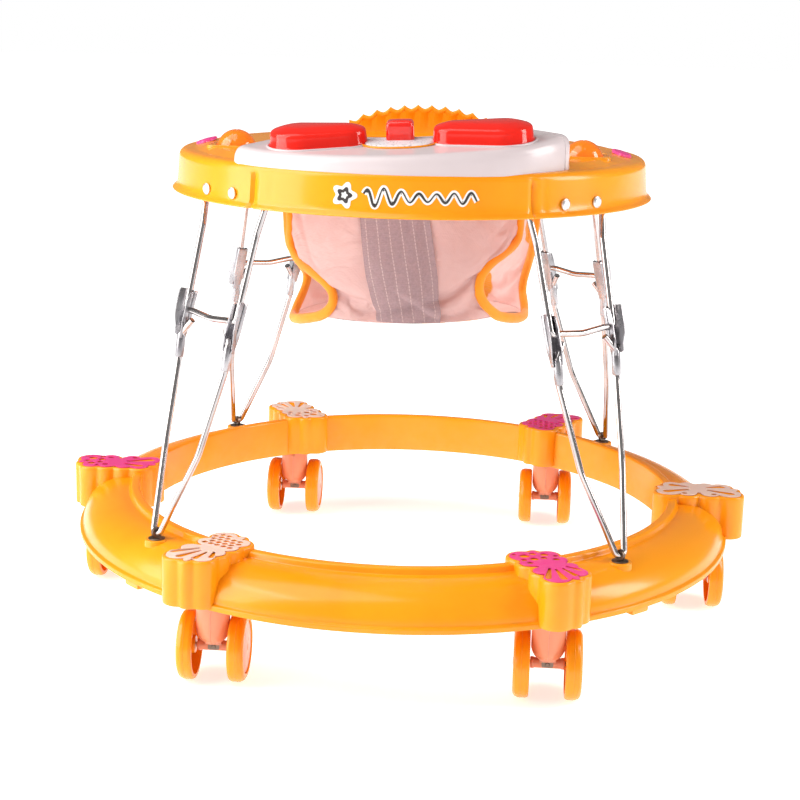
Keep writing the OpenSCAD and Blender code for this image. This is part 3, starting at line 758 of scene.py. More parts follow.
def hubs():
    """Ball hub with a seam and a nub, neck and stem, and the ribbed bar round the axle."""
    b = Build()
    ball = arc(0, HUB_Z, HUB_R, -88, 0, 22)
    neck = rounded([(HUB_R, HUB_Z + 2), (HUB_R, 69.6), (5, 69.7), (5, 102)], [0, 1.2, 0.3, 0])
    b.lathe([(0.05, HUB_Z - HUB_R)] + ball + neck + [(0.05, 102)], segments=72)
    seam_r = HUB_R + 0.05
    half_turn = [math.radians(t) for t in range(-90, 91, 5)]
    seam = [(0, seam_r * math.sin(t), HUB_Z - seam_r * math.cos(t)) for t in half_turn]
    b.tube([(0, -seam_r, 69)] + seam, 0.35, 6)
    b.lathe(rounded([(2.2, -1), (2.2, 1.6), (0.05, 2.2)], [0, 0.6, 0]), segments=24,
            matrix=Matrix.Translation((0, -HUB_R + 1.0, HUB_Z + 19)) @ rotation(75, "X"))
    half = (WHEEL_GAP - WHEEL_W - 1) / 2
    bar = [(4.2, -half), (4.7, -half + 0.5), (4.7, -half + 2.6), (4.2, -half + 3.1), (4.2, half - 3.1),
           (4.7, half - 2.6), (4.7, half - 0.5), (4.2, half)]
    axle = Matrix.Translation((0, TRAIL, WHEEL_R))
    b.lathe([(2.05, -half)] + bar + [(2.05, half)], segments=40, matrix=axle @ rotation(90, "Y"))
    b.rings([[(x, y, z) for x, y in ((-6.5, 0), (6.5, 0), (6.5, TRAIL + 3), (-6.5, TRAIL + 3))]
             for z in (30.5, 40)], cap_start=True, cap_end=True)
    b.lathe([(0.05, 5.0), (1.5, 4.9), (1.9, 4.4), (1.9, 3)], segments=24, slot=1,
            matrix=axle @ rotation(90, "X"))
    b.rings([[(x, y, z) for x, z in rounded_box(4.6, 2.4, 1.4)] for y in (TRAIL - 4.35, TRAIL - 4.05)], slot=1,
            cap_start=True, matrix=Matrix.Translation((0, 0, WHEEL_R)))
    shape = b.plain("caster_1_hub_detail", [PEACH, DARK_STEEL])
    shade(shape, 45)
    caster_copies(shape, "caster_{}_hub", "caster_{}", "peach_plastic", (0, 0, 0))


def eye_seats():
    """The dished washer under each leg's eye."""
    b = Build()
    for az in LEG_AZ:
        b.lathe([(1.5, 102.7), (1.6, 104.0), (3.2, 104.2), (4.6, 103.7), (6.4, 103.5), (6.8, 103.1),
                 (6.7, 102.6)], segments=40, matrix=place(az, LEG_EYE_R))
    b.object("eye_seat_washers", [DARK_STEEL], "base", "dark_steel", ["eye_washers"], smooth=40)


def knee_clips():
    """Folded steel clips at the knees: a channel with a long leaf outside, crimped on the lower wire."""
    leaf = rounded([(-0.5, -22), (-2.2, -21), (-2.8, -15), (-5.4, -7), (-6.2, 2), (-6.4, 14), (-5.6, 16.5),
                    (-0.5, 17), (2.6, 15), (3.2, -12), (1.6, -21), (-0.5, -22)],
                   [0, 1.0, 5, 6, 6, 2, 1, 2, 2, 6, 1.5, 0], 4)[:-1]
    low = rounded([(-3.2, -24), (-4.6, -10), (-4.8, 6), (-3.4, 15), (3.2, 15), (3.4, -14), (2.2, -24),
                   (-3.2, -24)], [0, 4, 4, 3, 2, 4, 2, 0], 4)[:-1]
    channel = rounded([(29.9, 0), (29.9, 3.6), (40.7, 3.6), (40.7, 0), (39.8, 0), (39.8, 2.6), (30.8, 2.6),
                       (30.8, 0)], [0, 1.2, 1.2, 0, 0, 0.5, 0.5, 0], 3)
    for k, az in enumerate(LEG_AZ):
        b = Build()
        knee = place(az, KNEE_R, KNEE_Z) @ Matrix.Rotation(-LEG_LEAN, 4, "X")
        for side in SIDES:
            for shape, x0, x1, flare in ((leaf, 39.2, 40.3, 0.45), (low, 30.4, 31.5, 0.0)):
                b.rings([[(side * (x - flare * y), y, z) for y, z in shape] for x in (x0, x1)],
                        cap_start=True, cap_end=True, matrix=knee)
            b.rings([[(side * (CHANNEL_X + (x - CHANNEL_X) * wide), y, z) for x, y in channel]
                     for z, wide in ((-25, 0.55), (-20, 0.62), (-12, 0.9), (-6, 1), (14, 1), (16.5, 0.94))],
                    cap_start=True, cap_end=True, matrix=knee)
            top, bottom = Vector((side * 33.6, -217.3, 262)), Vector((side * 33.0, -220.6, 240))
            path = [bottom.lerp(top, t) for t in (0.10, 0.14, 0.5, 0.9, 1.0)]
            b.tube(path, [3.1, 3.5, 3.7, 3.6, 3.2], 16, matrix=place(az))
        b.object(f"leg_{k + 1}_knee_clips", [CLIP], f"leg_{k + 1}_lower", "clip_steel", [f"leg_{k + 1}_clips"],
                 smooth=35, bevel=0.25)


ring_moulding()
plates()
wheels()
hubs()
eye_seats()
knee_clips()


# ---------- tray ----------

DECK = 409.5
# The skirt's radius at its foot, how much it draws in up its height, and millimetres round it per degree
SKIRT_R, SKIRT_LOW, SKIRT_HIGH, SKIRT_DRAFT, SKIRT_DEGREE = 203.0, 379, 20, 1.5, 3.55
BALL_X, BALL_Y, BALL_Z, BALL_R, WELL = 146.0, -50.0, 406.0, 17.0, 20.0
HOLE_R = 112.0


def deck_height(r):
    return straight_table(((0, DECK), (176, DECK), (188, 406), (195.5, 405.5), (201.5, 399.5)), r)


def groove(az, centre, half):
    return math.exp(-((az - centre) / half) ** 4)


def skirt_radius(z):
    return SKIRT_R - SKIRT_DRAFT * (z - SKIRT_LOW) / SKIRT_HIGH


def skirt_warp(r, az, z):
    """Presses the two pairs of upright grooves into the skirt and makes the wall a little uneven."""
    az = (az + 180) % 360 - 180
    if z < 403 and r > 190:
        share = min(1.0, (403 - z) / 6)
        r -= share * 2.6 * (groove(az, -33.5, 0.62) + groove(az, 31.5, 0.62))
        r -= share * 0.5 * (groove(az, -28.2, 0.4) + groove(az, 34.6, 0.4))
    r += 0.3 * noise.noise(Vector((az / 14, z / 40, 7)))
    return r, z


def well_ring(side, half, z, corner):
    return [(side * BALL_X + x, BALL_Y + y, z) for x, y in rounded_box(half, half, corner)]


def tray_shell():
    """The turned tray with the two square wells cut through it, and the rims and collars of the wells."""
    b = Build()
    outer = [(205.4, 371.3), (206.9, 371.5), (207.4, 372.2), (206.6, 373.3), (204.8, 374.6), (203.5, 376.6),
             (SKIRT_R, SKIRT_LOW)]
    outer += [(SKIRT_R - SKIRT_DRAFT * t / 6, SKIRT_LOW + SKIRT_HIGH * t / 6) for t in range(1, 7)]
    outer += arc(195.0, 399.0, 6.5, 8, 84, 8)
    outer += rounded([(195, 405.6), (188, 406), (176, DECK), (118, DECK)], [0, 12, 14, 0], 6)
    outer += rounded([(116, DECK), (HOLE_R, DECK), (HOLE_R, 386), (HOLE_R + 2.5, 386), (HOLE_R + 2.5, 407)],
                     [0, 3, 1.0, 1.0, 0], 5)
    outer += [(175, 407), (187, 403.4), (195, 402.9)] + arc(195.0, 399.0, 3.9, 80, 5, 5)
    outer += [(199.5, 379), (200.2, 376), (203.2, 372.4), (204.4, 371.3)]
    b.lathe(outer, segments=480, closed=True, warp=skirt_warp)
    shell = b.object("tray_shell_moulding", [YELLOW], "tray", "yellow_plastic", ["tray_shell"], smooth=180)
    cutter = Build()
    for side in SIDES:
        cutter.rings([well_ring(side, WELL, z, 4) for z in (390, 425)], cap_start=True, cap_end=True)
    tool = cutter.plain("cutter")
    cut = shell.modifiers.new("wells", "BOOLEAN")
    cut.object, cut.operation, cut.solver = tool, "DIFFERENCE", "EXACT"
    apply_modifiers(shell)
    bpy.data.objects.remove(tool)
    shade(shell, 38)

    wells = Build()
    for side in SIDES:
        wells.rings([well_ring(side, WELL + grow, z, r) for grow, z, r in
                     ((-0.1, 396, 4), (-0.1, DECK + 0.6, 4), (0.6, DECK + 1.3, 4.6), (1.8, DECK + 1.2, 5.6),
                      (2.5, DECK + 0.3, 6.2), (2.5, 396, 6.2))], closed_path=True)
        for end in SIDES:
            collar = [(1.6, -2.6), (4.4, -2.6), (4.4, 0.6), (3.6, 1.4), (1.6, 1.4)]
            middle = Matrix.Translation((side * BALL_X + end * (WELL - 1.5), BALL_Y, BALL_Z))
            wells.lathe(collar, segments=32, closed=True, matrix=middle @ rotation(-90 * end, "Y"))
    for side in SIDES:
        wells.rings([well_ring(side, WELL - inset, z, r) for inset, z, r in
                     ((0.4, DECK + 0.9, 3.6), (3.0, DECK + 1.0, 12), (3.2, DECK - 2, 12), (3.0, DECK - 8, 12))])
    wells.object("play_ball_wells", [YELLOW], "tray", "yellow_plastic", smooth=40)


CREST_Y, CREST_HALF, CREST_T, CREST_BOW, TEETH = 151.5, 72.0, 3.0, 3.0, 12
CREST_LOW, CREST_TOP, CREST_DROP, TOOTH = 409.2, 436, 16, 3.9
CREST_PITCH = 2 * CREST_HALF / (TEETH - 1)


def crest():
    """The toothed crest behind the opening, with a thin rim along its edge and three buttresses."""
    half = CREST_T / 2

    def bow(x):
        return CREST_BOW * (abs(x) / CREST_HALF) ** 2

    def top(x):
        u = ((x + CREST_HALF) / CREST_PITCH) % 1.0
        arch = CREST_TOP - CREST_DROP * (abs(x) / CREST_HALF) ** 2.2
        return arch - TOOTH * (1 - abs(2 * u - 1) ** 1.5)

    def section(x):
        z = top(x)
        return [(x, CREST_Y - bow(x) + dy, level) for dy, level in
                ((-half, CREST_LOW), (-half, z - 4.5), (-half - 0.5, z - 4.0), (-half - 0.5, z - 1.0),
                 (-half + 0.2, z - 0.15), (0, z), (half - 0.2, z - 0.15), (half, z - 1.0), (half, CREST_LOW))]
    b = Build()
    b.rings([section(-CREST_HALF + 2 * CREST_HALF * i / 176) for i in range(177)], cap_start=True, cap_end=True)
    for x in (-46, 0, 46):
        b.rings([[(x + dx, CREST_Y + 1.2 + dy - bow(x), z)
                  for dx, dy in ((-1, 0), (1, 0), (1, depth), (-1, depth))]
                 for z, depth in ((CREST_LOW, 9), (417, 6), (424, 0.6))], cap_start=True, cap_end=True)
    b.object("tray_crest", [YELLOW], "tray", "yellow_plastic", smooth=50)


# ---------- console and its buttons ----------

TILT, ROLL = math.radians(7), math.radians(3)
CONSOLE_Y, CONSOLE_Z = -145, 424
CONSOLE_FRONT_R, CONSOLE_BACK_R, CONSOLE_HALF, CONSOLE_TURN = 199.6, 117.5, 45.5, 2.0
ON_CONSOLE = (Matrix.Translation((0, CONSOLE_Y, CONSOLE_Z)) @ Matrix.Rotation(-ROLL, 4, "Y")
              @ Matrix.Rotation(TILT, 4, "X"))


def console_top(x, y):
    return CONSOLE_Z + x * math.tan(ROLL) + (y - CONSOLE_Y) * math.tan(TILT) / math.cos(ROLL)


def inset_loop(points, d):
    """A closed plan outline moved inwards by d, along its normals."""
    n = len(points)
    out = []
    for i in range(n):
        a, p, c = (Vector(points[(i + k) % n]) for k in (-1, 0, 1))
        t = (c - a).normalized()
        out.append(p + Vector((-t.y, t.x)) * d)
    return out


def console_plan():
    """The plan of the console: two arcs round the tray's axis, with rounded corners."""
    front = []
    for i in range(61):
        az = CONSOLE_TURN - CONSOLE_HALF + 2 * CONSOLE_HALF * i / 60
        pull = 12 * max(0.0, (az - 24) / 22) ** 1.4 + 1.5 * max(0.0, (-az - 32) / 14) ** 1.5
        front.append(polar(az, CONSOLE_FRONT_R - pull)[:2])
    back = [polar(CONSOLE_TURN + CONSOLE_HALF - 2 * CONSOLE_HALF * i / 30, CONSOLE_BACK_R)[:2]
            for i in range(31)]
    raw = [Vector(p) for p in front + back]
    corner = {0: 15, 60: 15, 61: 10, len(raw) - 1: 10}
    loop = []
    for i, p in enumerate(raw):
        if i in corner:
            a, c = raw[i - 1], raw[(i + 1) % len(raw)]
            start, end = p + (a - p).normalized() * corner[i], p + (c - p).normalized() * corner[i]
            loop += [start * (1 - t) ** 2 + p * 2 * t * (1 - t) + end * t * t
                     for t in (k / 12 for k in range(13))]
        elif not any((raw[j] - p).length < r * 1.02 for j, r in corner.items()):
            loop.append(p)
    return loop


def console():
    """The console with its rounded top edge, closed by triangles, and a raised bead round each drum."""
    plan = console_plan()
    levels = ((0.0, None), (0.25, -8.5), (0.7, -6.0), (1.6, -3.6), (3.0, -1.8), (4.8, -0.65), (7.0, -0.12),
              (9.0, 0.0))

    def height(p, drop):
        deck = deck_height(p.length)
        return deck - 0.4 if drop is None else max(console_top(p.x, p.y) + drop, deck + 0.3)
    b = Build()
    b.rings([[(p.x, p.y, height(p, drop)) for p in inset_loop(plan, d)] for d, drop in levels])
    for start, turned_over in ((0, True), (len(b.verts) - len(plan), False)):
        flat = [[Vector((v[0], v[1], 0)) for v in b.verts[start:start + len(plan)]]]
        for a, c, d in geometry.tessellate_polygon(flat):
            face = [start + a, start + c, start + d]
            up = (flat[0][c] - flat[0][a]).cross(flat[0][d] - flat[0][a]).z > 0
            b.faces.append(face[::-1] if up == turned_over else face)
            b.slots.append(0)
    for side in SIDES:
        bead = [(x, y, 0.1) for x, y in drum_loop(side, 1.7)]
        b.tube(bead, 1.0, 10, closed=True, matrix=ON_CONSOLE)
    b.object("console_moulding", [WHITE], "tray", "white_plastic", ["console"], smooth=35)


def fuller(value, power):
    """A sine or cosine raised to a power with its sign kept, for an outline between an oval and a box."""
    return math.copysign(abs(value) ** power, value)


def console_front():
    """The speckled grille between the drums and the curved inlay round it."""
    turns = [2 * math.pi * i / 96 for i in range(96)]
    plan = [(27 * fuller(math.cos(t), 0.75), -4 + 18 * fuller(math.sin(t), 0.8)) for t in turns]
    grille = Build()
    grille.rings([[(p.x, p.y, z) for p in inset_loop(plan, d)] for d, z in
                  ((0, -0.3), (0, 0.9), (0.4, 1.5), (1.2, 1.8), (2.4, 1.9))], cap_end=True, matrix=ON_CONSOLE)
    grille.object("speaker_grille", [GRILLE], "tray", "white_plastic", smooth=40)
    half = 31
    arm = ((-43, -7.5, 0.3), (-39, -6.6, 0.4), (-35, -5.2, 0.5))
    smile = [(x, -4 - 19.6 * (1 - min(1, abs(x) / half) ** 2.6) ** 0.7, 0.5)
             for x in (-half + 2 * half * i / 60 for i in range(61))]
    inlay = Build()
    inlay.tube([*arm, *smile, *((-x, y, z) for x, y, z in arm[::-1])], 0.95, 10, matrix=ON_CONSOLE)
    inlay.object("console_inlay", [YELLOW], "tray", "yellow_plastic", smooth=60)


DRUM_BIG_R, DRUM_SMALL_R = 24.5, 18.5


def drum_loop(side, grow, count=120):
    """Convex outline round two circles, one large and outward, one small and inward."""
    big, small = Vector((80.5 if side > 0 else 78.5, 0)), Vector((44, 1.5))
    r1, r2 = DRUM_BIG_R + grow, DRUM_SMALL_R + grow
    axis = small - big
    base = math.atan2(axis.y, axis.x)
    open_angle = math.acos((r1 - r2) / axis.length)
    pts = []
    for i in range(count):
        t = i / count
        if t < 0.7:
            a = base + open_angle + (2 * math.pi - 2 * open_angle) * t / 0.7
            pts.append(big + Vector((math.cos(a), math.sin(a))) * r1)
        else:
            a = base - open_angle + 2 * open_angle * (t - 0.7) / 0.3
            pts.append(small + Vector((math.cos(a), math.sin(a))) * r2)
    # even spacing along the loop
    total = [0.0]
    closed = pts + [pts[0]]
    for p, q in zip(closed, closed[1:]):
        total.append(total[-1] + (q - p).length)
    even = []
    for i in range(count):
        want = total[-1] * i / count
        k = max(j for j in range(len(total) - 1) if total[j] <= want + 1e-9)
        u = (want - total[k]) / max(total[k + 1] - total[k], 1e-9)
        even.append(closed[k].lerp(closed[k + 1], u))
    return [(side * p.x, p.y) for p in even]


def drums():
    """The two drum buttons, with a step round each foot, and the see-through button between them."""
    for side, word in zip(SIDES, WORDS):
        b = Build()
        levels = [(-0.6, -1.5), (0.5, -1.5), (0.5, 0.7), (0.0, 1.2), (-0.5, 2.4), (-0.9, 8.5), (-1.3, 10.6),
                  (-2.1, 11.7), (-3.4, 12.5), (-6, 13.4), (-9, 14.3), (-11.5, 14.95), (-13.4, 15.35)]
        b.rings([[(x, y, z) for x, y in drum_loop(side, grow)] for grow, z in levels],
                cap_start=True, cap_end=True, matrix=ON_CONSOLE)
        b.object(f"drum_{word}", [RED], f"{word}_drum", "red_plastic", [f"drum_button_{word}"], smooth=32)
    b = Build()
    levels = ((0.3, -1.5), (0.0, 1.0), (0.3, 12.2), (0.7, 14.4), (1.8, 15.8), (3.4, 16.4), (6, 16.7))
    b.rings([[(x, y + 6.5, z) for x, y in rounded_box(11 - inset, 8 - inset, 3.2 - min(inset, 2.8) * 0.8)]
             for inset, z in levels], cap_start=True, cap_end=True, matrix=ON_CONSOLE)
    b.object("middle_push_button", [CLEAR_RED], "middle_button", "red_plastic", ["red_button"], smooth=50)


def play_balls():
    """Two hollow balls on their pins, with a fine parting line round the middle."""
    for side, word in zip(SIDES, WORDS):
        b = Build()
        turn = Matrix.Translation((side * BALL_X, BALL_Y, BALL_Z)) @ rotation(90, "Y")
        profile = [(1.6, -BALL_R + 0.4)]
        for t in range(-84, 85, 4):
            r = BALL_R - (0.35 if t == 0 else 0.0)
            profile.append((r * math.cos(math.radians(t)), r * math.sin(math.radians(t))))
        profile.append((1.6, BALL_R - 0.4))
        b.lathe(profile, segments=72, closed=True, matrix=turn)
        b.object(f"spinning_ball_{word}", [AMBER], f"ball_{word}", "amber_plastic", [f"play_ball_{word}"],
                 smooth=60)


def badges():
    """A small scalloped badge on each side of the deck."""
    b = Build()
    for az in (-88, 88):
        at = place(az, 180, 408.2) @ rotation(16, "X")
        shape = []
        for t in (2 * math.pi * i / 120 for i in range(120)):
            r = 10.5 + 6.0 * abs(math.cos(t)) ** 1.6 + 1.0 * math.cos(6 * t)
            shape.append((r * math.cos(t), 0.72 * r * math.sin(t)))
        b.rings([[(x * scale, y * scale, z) for x, y in shape] for scale, z in
                 ((1, 0), (1, 1.4), (0.96, 2.0), (0.86, 2.4), (0.74, 2.2), (0.66, 1.9), (0.5, 2.5),
                  (0.25, 2.9))],
                cap_start=True, cap_end=True, matrix=at)
    b.object("side_badge_pair", [PINK], "tray", "pink_plastic", ["side_badges"], smooth=50)


DECAL_Z, DECAL_T, PALE_LIFT, DARK_LIFT, STAR_AZ = 387.5, 0.35, 0.3, 0.45, -10.6


def decal():
    """A generic printed sticker on the skirt: a small star wheel and a flowing wave, with a white border."""
    def on_skirt(az, z, lift):
        return polar(az, skirt_radius(z) + lift, z)

    def ribbon(build, path, widths, lift):
        rings = []
        for k, ((az, z), width) in enumerate(zip(path, widths)):
            p0, p1 = path[max(k - 1, 0)], path[min(k + 1, len(path) - 1)]
            along = Vector(((p1[0] - p0[0]) * SKIRT_DEGREE, p1[1] - p0[1])).normalized()
            across = Vector((-along.y, along.x)) * width / 2
            rings.append([on_skirt(az + sign * across.x / SKIRT_DEGREE, z + sign * across.y, lift - under)
                          for sign, under in ((-1, DECAL_T), (-1, 0), (1, 0), (1, DECAL_T))])
        build.rings(rings, cap_start=True, cap_end=True)

    def wave(t):
        swell = 8.2 * (1 - 0.5 * t) * (0.75 + 0.25 * math.cos(6 * t))
        return -6.3 + 24.5 * t, DECAL_Z + swell * math.sin(2 * math.pi * 6.5 * t + 0.6) * min(1, 8 * t + 0.4)

    def star_ring(scale, lift):
        return [on_skirt(STAR_AZ + r * scale * math.cos(t) / SKIRT_DEGREE, DECAL_Z + r * scale * math.sin(t),
                         lift) for r, t in star]
    steps = range(261)
    path = [wave(i / 260) for i in steps]
    star = [(8.6 + 1.8 * math.cos(5 * t), t) for t in (2 * math.pi * i / 60 for i in range(60))]
    low, high, inner = DARK_LIFT - DECAL_T, DARK_LIFT, 0.62 * 0.45
    pale, dark = Build(), Build()
    ribbon(pale, path, [4.6 for _ in steps], PALE_LIFT)
    ribbon(dark, path, [1.5 + 0.5 * math.sin(i / 9) for i in steps], DARK_LIFT)
    pale.rings([star_ring(1.0, PALE_LIFT - DECAL_T), star_ring(1.0, PALE_LIFT)], cap_start=True, cap_end=True)
    dark.rings([star_ring(0.62, low), star_ring(0.62, high), star_ring(inner, high), star_ring(inner, low)],
               closed_path=True)
    pale.object("decal_border", [DECAL_WHITE], "tray", "sticker", ["front_sticker"], smooth=60)
    dark.object("decal_print", [DECAL_DARK], "tray", "sticker", smooth=60)


tray_shell()
crest()
console()
console_front()
drums()
play_balls()
badges()
decal()


# ---------- seat ----------

SEAT_RIM, SLING_LOW, CLOTH_T = 404.0, 266, 0.9
# Azimuth of the middle of the binding by height, for each side of the front and of the back panel
FRONT_EDGE = {-1: ((269, 46), (274, 40), (283, 36), (292, 36.5), (300, 42), (306, 52), (309, 63), (314, 72),
                   (323, 75), (346, 71), (404, 71)),
              1: ((273, 54), (280, 47.6), (287, 43.2), (296, 40.3), (306, 40.2), (315, 43), (321, 47.6),
                  (326, 55), (331, 62.5), (337, 67.5), (346, 67.5), (404, 66))}
BACK_EDGE = {-1: ((256, 90), (262, 95), (269, 100), (277, 104.5), (285, 108), (292, 106), (300, 99), (309, 91),
                  (320, 85), (346, 81), (404, 81)),
             1: ((265, 92), (272, 98), (280, 104), (288, 104), (299, 101.8), (312, 97), (326, 91), (346, 88),
                 (404, 88))}
# Radius of the bag by height, at some azimuths round it
BAG = ((-90, ((256, 102), (276, 98), (292, 98), (308, 99), (322, 106), (350, 108), (404, 108.5))),
       (-35, ((262, 97), (292, 97), (320, 100), (371, 106), (404, 108.5))),
       (0, ((262, 96), (300, 98), (360, 105), (404, 108.5))),
       (55, ((262, 98), (292, 97), (320, 99), (371, 102), (404, 108))),
       (95, ((262, 102), (288, 102), (312, 105), (350, 109.5), (404, 110))),
       (180, ((256, 97), (300, 101), (404, 110))))


def bag_point(az, z):
    """Point of the bag at an azimuth and a height."""
    az = (az + 180) % 360 - 180
    stops = [*BAG, (270, BAG[0][1])]
    a = az if az >= -90 else az + 360
    (a0, t0), (a1, t1) = next(pair for pair in zip(stops, stops[1:]) if a <= pair[1][0])
    t = ease((a - a0) / (a1 - a0))
    return Vector(polar(az, smooth_table(t0, z) * (1 - t) + smooth_table(t1, z) * t, z))


def edge_azimuth(edges, side, z):
    return smooth_table(edges[side], max(z, edges[side][0][0]), 1.5)


def panel_point(edges, low, around):
    """Point of a panel: u runs across it in azimuth, v down it from the rim to the hem."""
    def point(u, v):
        hem = low[0] + (low[1] - low[0]) * u
        z = SEAT_RIM + (hem - SEAT_RIM) * v
        left, right = (edge_azimuth(edges, side, z) for side in SIDES)
        az = right + (360 - left - right) * u if around else -left + (left + right) * u
        return bag_point(az, z)
    return point


def grid_faces(across, down):
    row = across + 1
    return [[j * row + i, j * row + i + 1, (j + 1) * row + i + 1, (j + 1) * row + i]
            for j in range(down) for i in range(across)]


def grid(point, across, down):
    """A panel's vertices, faces and the vertices on its edge."""
    verts = [point(i / across, j / down) for j in range(down + 1) for i in range(across + 1)]
    edge = [j * (across + 1) + i for j in range(down + 1) for i in range(across + 1)
            if i in (0, across) or j in (0, down)]
    return verts, grid_faces(across, down), edge


def outward(p):
    flat = Vector((p.x, p.y, 0))
    return flat.normalized() if flat.length > 1 else Vector((0, 0, -1))


def hang(name, verts, faces, held, slack, frames):
    """Sews a panel of cloth at its edge and lets it hang; slack is how much longer it is than its place."""
    random.seed(7)
    held_set = set(held)
    start = []
    for i, v in enumerate(verts):
        crease = noise.noise(Vector((v.x * 0.03, v.y * 0.03, v.z * 0.11))) * 2.4 if i not in held_set else 0
        start.append((v + outward(v) * crease + Vector(random.uniform(-0.1, 0.1) for _ in range(3))) * MM)
    mesh = bpy.data.meshes.new(name)
    mesh.from_pydata(start, [], faces)
    o = linked(name, mesh)
    o.vertex_groups.new(name="pinned").add(held, 1.0, "REPLACE")
    rest_area = sum(p.area for p in mesh.polygons) * (1 + slack) ** 2
    c = o.modifiers.new("cloth", "CLOTH")
    s = c.settings
    s.quality = 6
    s.mass = 0.08
    s.vertex_group_mass = "pinned"
    s.tension_stiffness = s.compression_stiffness = 18
    s.shear_stiffness = 8
    s.bending_stiffness = 0.15
    s.shrink_min = s.shrink_max = -slack
    s.air_damping = 2.5
    c.collision_settings.use_collision = False
    c.collision_settings.use_self_collision = False
    c.point_cache.frame_start, c.point_cache.frame_end = 1, frames
    for f in range(1, frames + 1):
        scene.frame_set(f)
    apply_modifiers(o)
    scene.frame_set(1)
    return o, rest_area


def finish_panel(o, material, area, replaced):
    """Smooths and thickens a hung panel. Its area argument, the size of its flat cut, is not used."""
    o.data.materials.append(material)
    smoother = o.modifiers.new("subsurf", "SUBSURF")
    smoother.levels = smoother.render_levels = 1
    thicken(o, CLOTH_T)
    shade(o, 180)
    sewn(o, "seat_cloth")
    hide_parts(replaced)


def thicken(o, thickness):
    solid = o.modifiers.new("solidify", "SOLIDIFY")
    solid.thickness, solid.offset = thickness * MM, 0
    apply_modifiers(o)


def flatten_with_fold(o):
    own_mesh(o)


def sewn(o, finish_slot):
    mount(o, "tray", finish_slot)
    flatten_with_fold(o)


def seat_loop(side):
    """The middle of the binding round one leg hole, from the rim down the front edge and up the back edge."""
    def down(edges):
        low = edges[side][0][0]
        return [(z, edge_azimuth(edges, side, z)) for z in
                (SEAT_RIM + (low - SEAT_RIM) * k / 200 for k in range(201))]
    front, back = down(FRONT_EDGE), down(BACK_EDGE)
    (z0, a0), (z1, a1) = front[-1], back[-1]
    low = [(z0 + (z1 - z0) * t - 2.5 * math.sin(math.pi * t), a0 + (a1 - a0) * t)
           for t in (k / 16 for k in range(1, 16))]
    return [bag_point(side * az, z) for z, az in front + low + back[::-1]]


def evenly(points, step):
    """The same path with its points a step apart."""
    out, left = [points[0]], step
    for p, q in zip(points, points[1:]):
        length = (q - p).length
        while left <= length:
            out.append(p.lerp(q, left / length))
            left += step
        left -= length
    return out + [points[-1]]


def eased(points, passes):
    pts = [Vector(p) for p in points]
    for _ in range(passes):
        pts = averaged(pts)
    return pts


def leg_bindings():
    b = Build()
    for side in SIDES:
        path = [p + outward(p) * 1.2 for p in eased(evenly(seat_loop(side), 2.5), 4)]
        radii = [4.6 * (1 + 0.07 * noise.noise(p * 0.12)) for p in path]
        normals = []
        for k, p in enumerate(path):
            tangent = (path[min(k + 1, len(path) - 1)] - path[max(k - 1, 0)]).normalized()
            n = outward(p)
            normals.append((n - tangent * n.dot(tangent)).normalized())
        b.tube(path, radii, 14, flat=0.8, up=normals)
    o = b.object("leg_hole_binding", [PIPING], "tray", "piping", ["leg_hole_piping"], 180, subsurf=1)
    flatten_with_fold(o)


def seat_bottom_grid(around, rings):
    """The sling under the bag, from its hem to a point a little lower in its middle."""
    fl, fr = FRONT_EDGE[-1][0], FRONT_EDGE[1][0]
    bl, br = BACK_EDGE[-1][0], BACK_EDGE[1][0]
    stops = [(-bl[1], bl[0]), (-fl[1], fl[0]), (fr[1], fr[0]), (br[1], br[0]), (360 - bl[1], bl[0])]
    turns = [-bl[1] + 360 * i / around for i in range(around)]
    hem = [bag_point(az, straight_table(stops, az)) for az in turns]
    verts = [Vector((p.x * t, p.y * t, p.z * t + SLING_LOW * (1 - t)))
             for t in (1 - k / rings for k in range(rings)) for p in hem]
    verts.append(Vector((0, 0, SLING_LOW)))
    faces = [[k * around + i, k * around + (i + 1) % around, (k + 1) * around + (i + 1) % around,
              (k + 1) * around + i] for k in range(rings - 1) for i in range(around)]
    last = (rings - 1) * around
    faces += [[last + i, last + (i + 1) % around, len(verts) - 1] for i in range(around)]
    return verts, faces, list(range(around))


def surface_radius(o):
    """How far out the panel's surface lies, from the seat's axis."""
    tree = BVHTree.FromPolygons([v.co for v in o.data.vertices], [p.vertices for p in o.data.polygons])

    def radius(az, z):
        d = Vector((math.sin(math.radians(az)), -math.cos(math.radians(az)), 0))
        hit = tree.ray_cast(Vector((0, 0, z * MM)) + d * 0.13, -d, 0.1)
        return (hit[0].xy.length / MM) if hit[0] else None
    return radius


# Middle azimuth and half width in degrees of the webbing by height
STRAP = ((268, (4.6, 15.5)), (283, (3.0, 16.0)), (310, (0.6, 16.8)), (330, (-1.2, 16.4)), (360, (-3.4, 15.4)),
         (398, (-4.3, 15.0)))
STRAP_TOP, STRAP_LOW, STRAP_T, LIP = 396, 271.5, 1.3, 4.2
# The webbing lifts along a line from one azimuth and height to another
LIP_FROM, LIP_TO = Vector((-5, 302)), Vector((20, 275))


def strap_lift(az, z):
    """How far the webbing stands off the seat: a lip along its line, and small ripples low down."""
    along = (LIP_TO - LIP_FROM).normalized()
    d = Vector((az, z)) - LIP_FROM
    run = d.dot(along) / (LIP_TO - LIP_FROM).length
    off = d.x * -along.y + d.y * along.x
    height = LIP * math.exp(-off / 9) if off > 0 else LIP * math.exp(off * 2.2)
    ripple = 0.5 * noise.noise(Vector((az * 0.16, z * 0.05, 3))) * min(max((330 - z) / 30, 0), 1)
    return 1.1 + min(max(run * 2.2, 0), 1) * height + ripple


def averaged(values):
    """Each value eased towards its neighbours; the ends stay."""
    return [values[0]] + [(a + 2 * b + c) / 4 for a, b, c in zip(values, values[1:], values[2:])] + [values[-1]]


